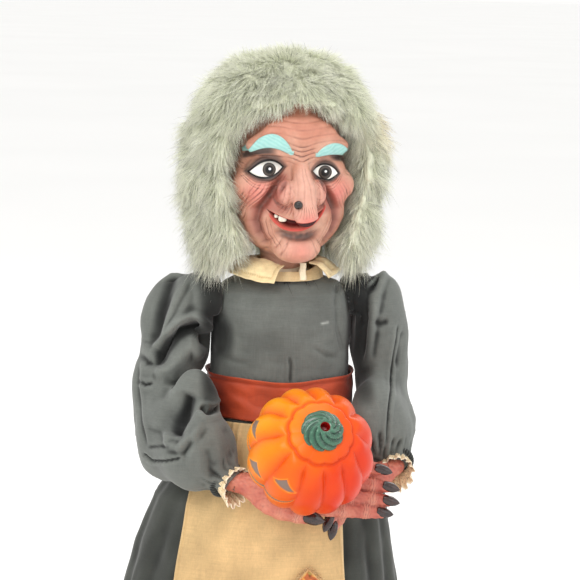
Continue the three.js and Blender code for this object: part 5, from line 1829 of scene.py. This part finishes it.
def make_nail(name, tip, end, width, side_way):
    """A pointed, curved nail from the fingertip to its end."""
    tip, end = np.array(tip, float), np.array(end, float)
    way = unit(end - tip)
    up = unit(np.asarray(side_way, float) - (np.asarray(side_way, float) @ way) * way)
    across = np.cross(way, up)
    rows, columns = 26, 24
    t = np.linspace(0.02, 0.995, rows)
    turns = np.linspace(0, 2 * np.pi, columns, endpoint=False)
    length = np.linalg.norm(end - tip) + 4.5
    half = width * np.sqrt(np.clip(1 - np.abs(2 * t - 0.86) ** 2.6 * np.where(t > 0.43, 0.78, 1), 0.004, 1))
    half = half * np.where(t > 0.55, 1 - 0.40 * ((t - 0.55) / 0.45) ** 1.3, 1)
    thin = 0.44 * half + 0.3
    centre = tip - way * 4.5 + up * 4.4
    ring = centre + way * (t * length)[:, None] - up * (3.6 * t ** 1.4)[:, None]
    points = ring[:, None] + across * (half[:, None] * np.cos(turns))[..., None] + up * (
        thin[:, None] * np.sin(turns) - 0.35 * half[:, None] * np.cos(turns) ** 2)[..., None]
    points = np.concatenate([points.reshape(-1, 3), ring[:1] - way * 0.2, ring[-1:] + way * 0.4])
    nail = mesh_object(name, points, closed_grid(rows, columns))
    fix_normals(nail)
    return nail


def join_pieces(name, pieces):
    bpy.ops.object.select_all(action="DESELECT")
    for piece in pieces:
        piece.select_set(True)
    bpy.context.view_layer.objects.active = pieces[0]
    bpy.ops.object.join()
    joined = bpy.context.view_layer.objects.active
    joined.name = name
    joined.data.name = name
    return joined


def make_hand(word, field, low, high, fingers, nails, material):
    vertices, quads = net(field, low, high, 1.7)
    hand = mesh_object("hand_" + word + "_vinyl", vertices, quads)
    finer(hand, lambda p: p[:, 1] < -60)
    p, n = settle(field, points_of(hand))
    lines, joint = knuckle_lines(p, fingers)
    across = palm_frame(p, (0, -84, 261), (1, 0, 0))[:, 1]
    rough = 0.22 * waves(p, 4, 91) - 0.16 * groove((across + waves(p, 9, 92)) / 5.0, 4)
    move_points(hand, p + n * (lines + rough * (1 - joint))[:, None])
    near, far = hollowness(hand, 2), hollowness(hand, 8)
    colour = all_over(HAND_PINK, len(p))
    colour = mixed(colour, (184, 94, 80), 0.45 * ramp(p[:, 0], 30, 50) + 0.3 + 0.3 * waves(p, 14, 94))
    # Paler on the knuckles, and on the rounded ridges a painted highlight.
    colour = mixed(colour, HAND_PALE, 0.22 * joint + clamp(-near * 1.3, 0, 0.45))
    # Painted shade in the creases and between the fingers.
    colour = mixed(colour, HAND_DARK, clamp(near * 1.6 + far * 0.9, 0, 0.75))
    paint(hand, colour)
    dress(hand, material)
    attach(hand, "arms")
    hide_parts("hand_" + word)
    made = []
    for i, (path, end, width, way) in enumerate(nails):
        made.append(make_nail(f"{word}_nail_{i}", path[-1], end, width, way))
    nail = join_pieces("hand_" + word + "_nails", made)
    dress(nail, glossy_paint("nail_lacquer_" + word, (62, 40, 36), 0.12, (26, 22, 24)))
    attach(nail, "arms")


def make_hands():
    material = vinyl("hand_vinyl")
    nails = [(path, end, 4.0, (0, -0.85, 0.5)) for path, end in RIGHT_FINGERS]
    nails.append((*RIGHT_THUMB, 5.4, (0, -0.9, 0.3)))
    fingers = RIGHT_FINGERS + [RIGHT_THUMB]
    make_hand("right", right_hand_field, (-52, -112, 232), (80, -60, 296), fingers, nails, material)
    nails = [(path, end, 4.0, (-0.3, -0.8, 0.3)) for path, end in LEFT_FINGERS]
    make_hand("left", left_hand_field, (24, -100, 222), (102, -40, 284), LEFT_FINGERS, nails, material)


def make_cuff(word, centre, way, hang):
    """Gathered dark elastic round the wrist, and a lace frill that flares from under it."""
    centre, way = np.array(centre, float), unit(way)
    across = unit(np.cross(way, (0, 0, 1)))
    up = np.cross(across, way)
    rows, columns = ((34, 300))
    turns = np.linspace(0, 2 * np.pi, columns, endpoint=False)
    out = across * np.cos(turns)[:, None] + up * np.sin(turns)[:, None]
    s = np.linspace(0, 1, rows)[:, None]
    low = ramp(-np.sin(turns), -0.4, 0.9)[None]
    ruffle = np.sin(13 * turns + 0.8 * np.sin(turns * 3))[None] + 0.35 * np.sin(29 * turns + 1)[None]
    radius = 11.4 + 2.4 * s + 1.6 * ruffle * s ** 1.2
    along = -4 + s * (12 + hang * low) + 0.7 * ruffle * s
    edge = 0.55 * np.abs(np.sin(45 * turns))[None] * (s > 0.97)
    grid = centre + out[None] * radius[..., None] + way * (along + edge)[..., None]
    grid[..., 2] -= (3.5 * s ** 2 * low)
    lace = cloth_shell(f"cuff_{word}_lace", grid, 0.5, True, centre)
    t = np.tile(np.repeat(s.ravel(), columns), 2)
    turn = np.tile(np.tile(turns, rows), 2)
    base = cloth_paint(lace, (226, 204, 166), (134, 106, 74), (246, 232, 204), 0.4, 0.3, (2, 8))
    holes = (0.5 + 0.5 * np.cos(60 * turn)) * (0.5 + 0.5 * np.cos(2 * np.pi * t * 5.5))
    base = mixed(base, (146, 116, 84), 0.75 * ramp(holes, 0.5, 0.85) * ramp(0.9 - t, 0, 0.05))
    base = mixed(base, (250, 238, 214), 0.8 * ramp(t, 0.93, 0.97))
    paint(lace, base)
    dress(lace, woven("lace_thread_" + word, 1700, 0.6, (0.75, 0.9), 0.2, 0.22))
    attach(lace, "arms")
    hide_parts("cuff_" + word)
    gather = np.abs(np.sin(19 * turns + 0.7 * np.sin(4 * turns)))
    size = 2.1 + 0.9 * gather
    ring = centre + way * (-3.6) + out * (12.6 + 0.6 * gather)[:, None]
    elastic = ring_tube(f"cuff_{word}_elastic", ring, size, out, 1.15 * way, 14)
    shade = np.repeat(np.array([38, 40, 38], float)[None] + 34 * (gather[:, None] - 0.4), 14, 0)
    paint(elastic, clamp(shade, 8, 255))
    dress(elastic, woven("elastic_" + word, 2300, strength=0.25))
    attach(elastic, "arms")
    rng = np.random.default_rng(95 if word == "right" else 96)
    total = 26
    start = centre + out[rng.integers(0, columns, total)] * 14 + way * rng.uniform(-2, 8, total)[:, None]
    lead = unit([0, -0.5, -0.7]) + 0.6 * rng.normal(size=(total, 3))
    length, bend = rng.uniform(2.5, 8, total), 0.5 * rng.normal(size=(total, 3))
    radii, dark = [np.full(total, 0.17)] * 4, all_over((24, 24, 24), total)
    threads = loose_threads(f"cuff_{word}_threads", start, lead, length, bend, radii, dark,
                            elastic.data.materials[0])
    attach(threads, "arms")


# Share of the way round the neck, from the front point at the figure's right, behind the neck, to the one
# at its left, with the places of the neck edge and of the outer edge there.
COLLAR = np.array([
    [0.00, -3, -36, 434.5, -12, -44, 421.5],
    [0.10, -14, -32, 437.5, -24, -43, 422.5],
    [0.20, -23, -24, 438.5, -36, -37, 425.0],
    [0.32, -28, -9, 438.0, -45, -18, 426.0],
    [0.45, -27, 9, 436.0, -45, 8, 426.0],
    [0.60, -15, 24, 435.0, -26, 36, 424.5],
    [0.72, 3, 28, 435.0, 4, 43, 424.0],
    [0.82, 20, 21, 436.0, 34, 33, 425.0],
    [0.90, 30, -2, 438.5, 47, 2, 428.0],
    [0.96, 27, -21, 439.0, 45, -23, 428.0],
    [1.00, 17, -34, 436.5, 32, -43, 426.0],
], float)


def smooth_rows(levels, t):
    """Values between the rows of a table, rounded at the rows."""
    fine = np.linspace(0, 1, 240)
    out = []
    for column in levels.T[1:]:
        values = np.interp(fine, levels[:, 0], column)
        for _ in range(60):
            values[1:-1] = 0.25 * values[:-2] + 0.5 * values[1:-1] + 0.25 * values[2:]
        out.append(np.interp(t, fine, values))
    return np.stack(out, -1)


def make_collar():
    columns = 170
    rows = 30
    t = np.linspace(0, 1, columns)
    edges = smooth_rows(COLLAR, t)
    s = np.linspace(0, 1, rows)[:, None, None]
    inner, outer = edges[None, :, :3], edges[None, :, 3:]
    grid = inner * (1 - s) + outer * s
    grid[..., 2] += (3.2 * np.sin(np.pi * s[..., 0]) - 0.6 * s[..., 0])
    flat = grid.reshape(-1, 3)
    ripple = 0.7 * waves(flat, 17, 97) + 0.35 * waves(flat, 7, 98)
    n = grid_normals(grid, False)
    if n[..., 2].mean() < 0:
        n = -n
    grid = grid + n * ripple.reshape(rows, columns, 1)
    rim = np.minimum(1 - s[..., 0], np.minimum(t, 1 - t)[None] * 6)
    grid = grid + n * (0.7 * bell(rim - 0.02, 0.05) - 0.55 * bell(rim - 0.16, 0.03))[..., None]
    collar = cloth_shell("collar_cloth", grid, 1.0, False, (0, 0, 380))
    colour = cloth_paint(collar, (224, 202, 156), (146, 116, 76), (242, 226, 190), 0.4, 0.3, (2, 9))
    near_edge = np.tile(rim.ravel(), 2)
    stitch = bell(near_edge - 0.16, 0.03) * (0.5 + 0.5 * np.sin(np.tile(np.tile(t, rows), 2) * 420))
    paint(collar, mixed(colour, (176, 146, 106), 0.6 * stitch))
    material = woven("collar_cotton", 1700, 0.5, (0.75, 0.92), 0.2, 0.15)
    dress(collar, material)
    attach(collar, "stand")
    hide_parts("collar")
    # The upright band inside the wings, and the small tab at the front.
    turns = np.linspace(0, 2 * np.pi, 200, endpoint=False)
    z = np.linspace(434.0, 421.0, 18)
    levels = np.array([[420, 33.0, 29.5, 1.0], [427, 31.5, 28.5, 1.0], [434.5, 29.5, 27.0, 1.0]])
    ring = ring_grid(levels, z, turns)
    ring[..., 1] -= 3.5 * ramp(-np.sin(turns), 0.2, 1.0)[None]
    ring[..., 2] -= np.linspace(5.5, 0, 18)[:, None] * ramp(-np.sin(turns), 0.3, 1.0)[None]
    points = ring.reshape(-1, 3)
    out = ring_normals(ring)
    ring = ring + out * (0.5 * waves(points, 9, 99, stretch=(1, 1, 3))).reshape(18, 200, 1)
    band = cloth_shell("collar_band", ring, 1.0, True, (0, 0, 428))
    # The band is painted a little darker than the wings: painted shade inside them.
    paint(band, cloth_paint(band, (214, 188, 144), (140, 108, 72), (236, 218, 184), 0.4, 0.3, (2, 9)))
    dress(band, material)
    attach(band, "stand")
    a, b = np.meshgrid(np.linspace(0, 1, 26), np.linspace(-1, 1, 12), indexing="ij")
    across, before = 12.0 + 2.6 * b + 0.3 * np.sin(9 * a), -34.5 - 0.9 * (1 - b ** 2) - 3.2 * a
    tab = np.stack([across, before, 436.5 - 13.5 * a], -1)
    tab = cloth_shell("collar_tab", tab, 1.2, False, (12, 0, 428))
    paint(tab, cloth_paint(tab, (240, 226, 196), (150, 122, 88), (250, 240, 216), 0.4, 0.3, (2, 6)))
    dress(tab, material)
    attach(tab, "stand")


make_hands()
make_cuff("right", (-49, -77.5, 269), (0.64, -0.72, -0.26), 4.0)
make_cuff("left", (90.5, -46.5, 272.8), (-0.03, -0.90, -0.43), 4.0)
make_collar()


# ---- Materials of the CAD nodes that stay: moulded plastic, steel, rubber and painted vinyl ----
def moulded(name, colour, worn, rough, grain=900, bumpy=0.15, metallic=0.0, coat=0.0):
    m = Nodes(name)
    cloudy = m.fit(m.noise(34, 4, 0.6), 0.35, 0.7)
    base = m.mix(cloudy, colour, tuple(0.86 * c for c in colour))
    edge = m.node("NewGeometry").outputs["Pointiness"]
    base = m.mix(m.fit(edge, 0.52, 0.60, 0.0, 0.6), base, worn)
    scratch = m.noise(260, 5, 0.7, m.place(scale=(1, 1, 0.12)))
    base = m.mix(m.fit(scratch, 0.62, 0.72, 0.0, 0.35), base, worn)
    roughness = m.fit(m.noise(120, 4, 0.65), 0.3, 0.7, rough - 0.08, rough + 0.10)
    normal = m.bump(m.noise(grain, 3), bumpy, 0.0003, m.bump(scratch, 0.08, 0.0003))
    return m.finish(Base_Color=base, Roughness=roughness, Normal=normal, Metallic=metallic,
                    Coat_Weight=coat, Coat_Roughness=0.2)


def turned_steel(name, colour=(176, 178, 182)):
    m = Nodes(name)
    lines = m.noise(900, 4, 0.7, m.place(scale=(1, 1, 0.03)))
    base = m.mix(m.fit(lines, 0.35, 0.65), colour, tuple(0.72 * c for c in colour))
    base = m.mix(m.fit(m.noise(60, 4, 0.7), 0.60, 0.78, 0.0, 0.5), base, (116, 92, 70))
    return m.finish(Base_Color=base, Roughness=m.fit(lines, 0.3, 0.7, 0.22, 0.42), Metallic=1.0,
                    Normal=m.bump(lines, 0.12, 0.0002))


def frosted_bulb():
    m = Nodes("bulb_glass_frosted")
    base = m.mix(m.fit(m.noise(90, 3), 0.3, 0.7), (250, 240, 214), (238, 222, 188))
    rough = m.fit(m.noise(200, 3), 0.3, 0.7, 0.12, 0.3)
    normal = m.bump(m.noise(500, 2), 0.06, 0.0003)
    return m.finish(Base_Color=base, Roughness=rough, Normal=normal, Coat_Weight=0.5, Coat_Roughness=0.08)


def finish_nodes():
    black = moulded("abs_black", (34, 35, 36), (92, 92, 92), 0.48)
    shoe = moulded("shoe_gloss", (26, 24, 26), (84, 80, 80), 0.26, 500, 0.1, coat=0.4)
    cream = moulded("abs_cream", (228, 214, 184), (246, 238, 220), 0.5)
    gear = moulded("acetal_white", (232, 230, 222), (214, 206, 190), 0.4, 700, 0.08)
    leg = moulded("leg_tube_black", (44, 45, 47), (110, 110, 112), 0.42, 1200)
    rubber = moulded("grommet_rubber_soft", (28, 28, 29), (66, 66, 66), 0.78, 1600, 0.3)
    motor = moulded("motor_can", (168, 170, 172), (210, 212, 214), 0.34, 700, 0.1, metallic=1.0)
    lamp = moulded("lampholder_white", (232, 228, 216), (206, 198, 180), 0.45)
    steel, glass = turned_steel("steel_drawn"), frosted_bulb()
    chosen = {
        black: ["base_shell", "base_plate", "switch_body", "arm_lever", "head_fork"],
        shoe: ["shoe_left", "shoe_right", "switch_slider"],
        leg: ["leg_left", "leg_right"],
        cream: ["hip_block", "torso_front", "torso_back", "chassis", "head_hub"],
        gear: ["crank_gear", "idler_gear", "motor_pinion", "arm_crank", "neck_bush", "shoulder_bush_left",
               "shoulder_bush_right"],
        rubber: ["cord_grommet"],
        motor: ["motor"],
        lamp: ["pumpkin_lampholder"],
        glass: ["pumpkin_bulb"],
        steel: ["idler_pin", "crank_shaft", "head_shaft", "shoulder_axle", "arm_left", "arm_right",
                "arm_link"] + [f"{place}_screw_{i}" for place in ("base", "torso") for i in range(1, 5)],
    }
    for material, names in chosen.items():
        for name in names:
            node = frame["nodes"][name]
            parts = [node] if node.type == "MESH" else []
            parts += [child for child in node.children_recursive if child.type == "MESH"]
            for part in parts:
                dress_node(part, material)


def dress_node(obj, material):
    if not obj.material_slots:
        obj.data.materials.append(material)
    for slot in obj.material_slots:
        slot.material = material


finish_nodes()


# ---- Floor, light and camera ----
# Each light's name, place, size, power and tint. All of them point at the figure's middle.
LIGHTS_AIM_HEIGHT = 0.38
LIGHTS = [
    ("key", (-1.1, -1.9, 1.75), 1.0, 24, (1, 0.985, 0.96)),
    ("fill", (1.9, -1.3, 1.0), 1.6, 7, (0.97, 0.98, 1)),
    ("top", (0.2, -0.1, 2.3), 1.4, 10, (1, 1, 1)),
    ("rim", (0.9, 1.7, 1.4), 1.2, 9, (1, 1, 1)),
]


def make_stage():
    bpy.ops.mesh.primitive_plane_add(size=160, location=(0, 0, -0.0005))
    floor = bpy.context.object
    floor.name = "floor"
    m = Nodes("floor_paper")
    tone = m.mix(m.fit(m.noise(0.8, 2), 0.3, 0.7), (252, 252, 251), (249, 249, 248))
    dress(floor, m.finish(Base_Color=tone, Roughness=0.9))
    world = bpy.data.worlds.new("studio")
    bpy.context.scene.world = world
    world.use_nodes = True
    world.node_tree.nodes["Background"].inputs["Color"].default_value = (1, 0.995, 0.985, 1)
    world.node_tree.nodes["Background"].inputs["Strength"].default_value = 1.0
    for name, place, size, power, tint in LIGHTS:
        light = bpy.data.lights.new(name, "AREA")
        light.size = size
        light.energy = power
        light.color = tint
        lamp = bpy.data.objects.new(name, light)
        lamp.location = place
        toward = Vector((0, 0, LIGHTS_AIM_HEIGHT)) - Vector(place)
        lamp.rotation_euler = toward.to_track_quat("-Z", "Y").to_euler()
        bpy.context.scene.collection.objects.link(lamp)


# The photograph's view. The camera is turned to the figure's right, raised and tilted, in degrees. In metres,
# it stands back from the point that it aims at, which is over the floor and a little to the right.
CAMERA_AZIMUTH, CAMERA_ELEVATION, CAMERA_ROLL = -8, 9, 1.5
CAMERA_DISTANCE, AIM_HEIGHT, AIM_RIGHT = 1.6, 0.409, 0.007
LENS_MM, SENSOR_MM = 121.1, 36


def make_camera():
    azimuth, elevation = math.radians(CAMERA_AZIMUTH), math.radians(CAMERA_ELEVATION)
    level = math.cos(elevation)
    back = Vector((math.sin(azimuth) * level, -math.cos(azimuth) * level, math.sin(elevation)))
    right = Vector((math.cos(azimuth), math.sin(azimuth), 0))
    target = Vector((0, 0, AIM_HEIGHT)) + right * AIM_RIGHT
    lens = bpy.data.cameras.new("camera")
    lens.sensor_width = SENSOR_MM
    lens.lens = LENS_MM
    camera = bpy.data.objects.new("camera", lens)
    camera.location = target + back * CAMERA_DISTANCE
    turn = (-back).to_track_quat("-Z", "Y")
    camera.rotation_mode = "QUATERNION"
    roll = Matrix.Rotation(math.radians(CAMERA_ROLL), 3, "Z").to_quaternion()
    camera.rotation_quaternion = turn @ roll
    bpy.context.scene.collection.objects.link(camera)
    bpy.context.scene.camera = camera


make_stage()
make_camera()
bpy.context.scene.view_settings.view_transform = "Standard"
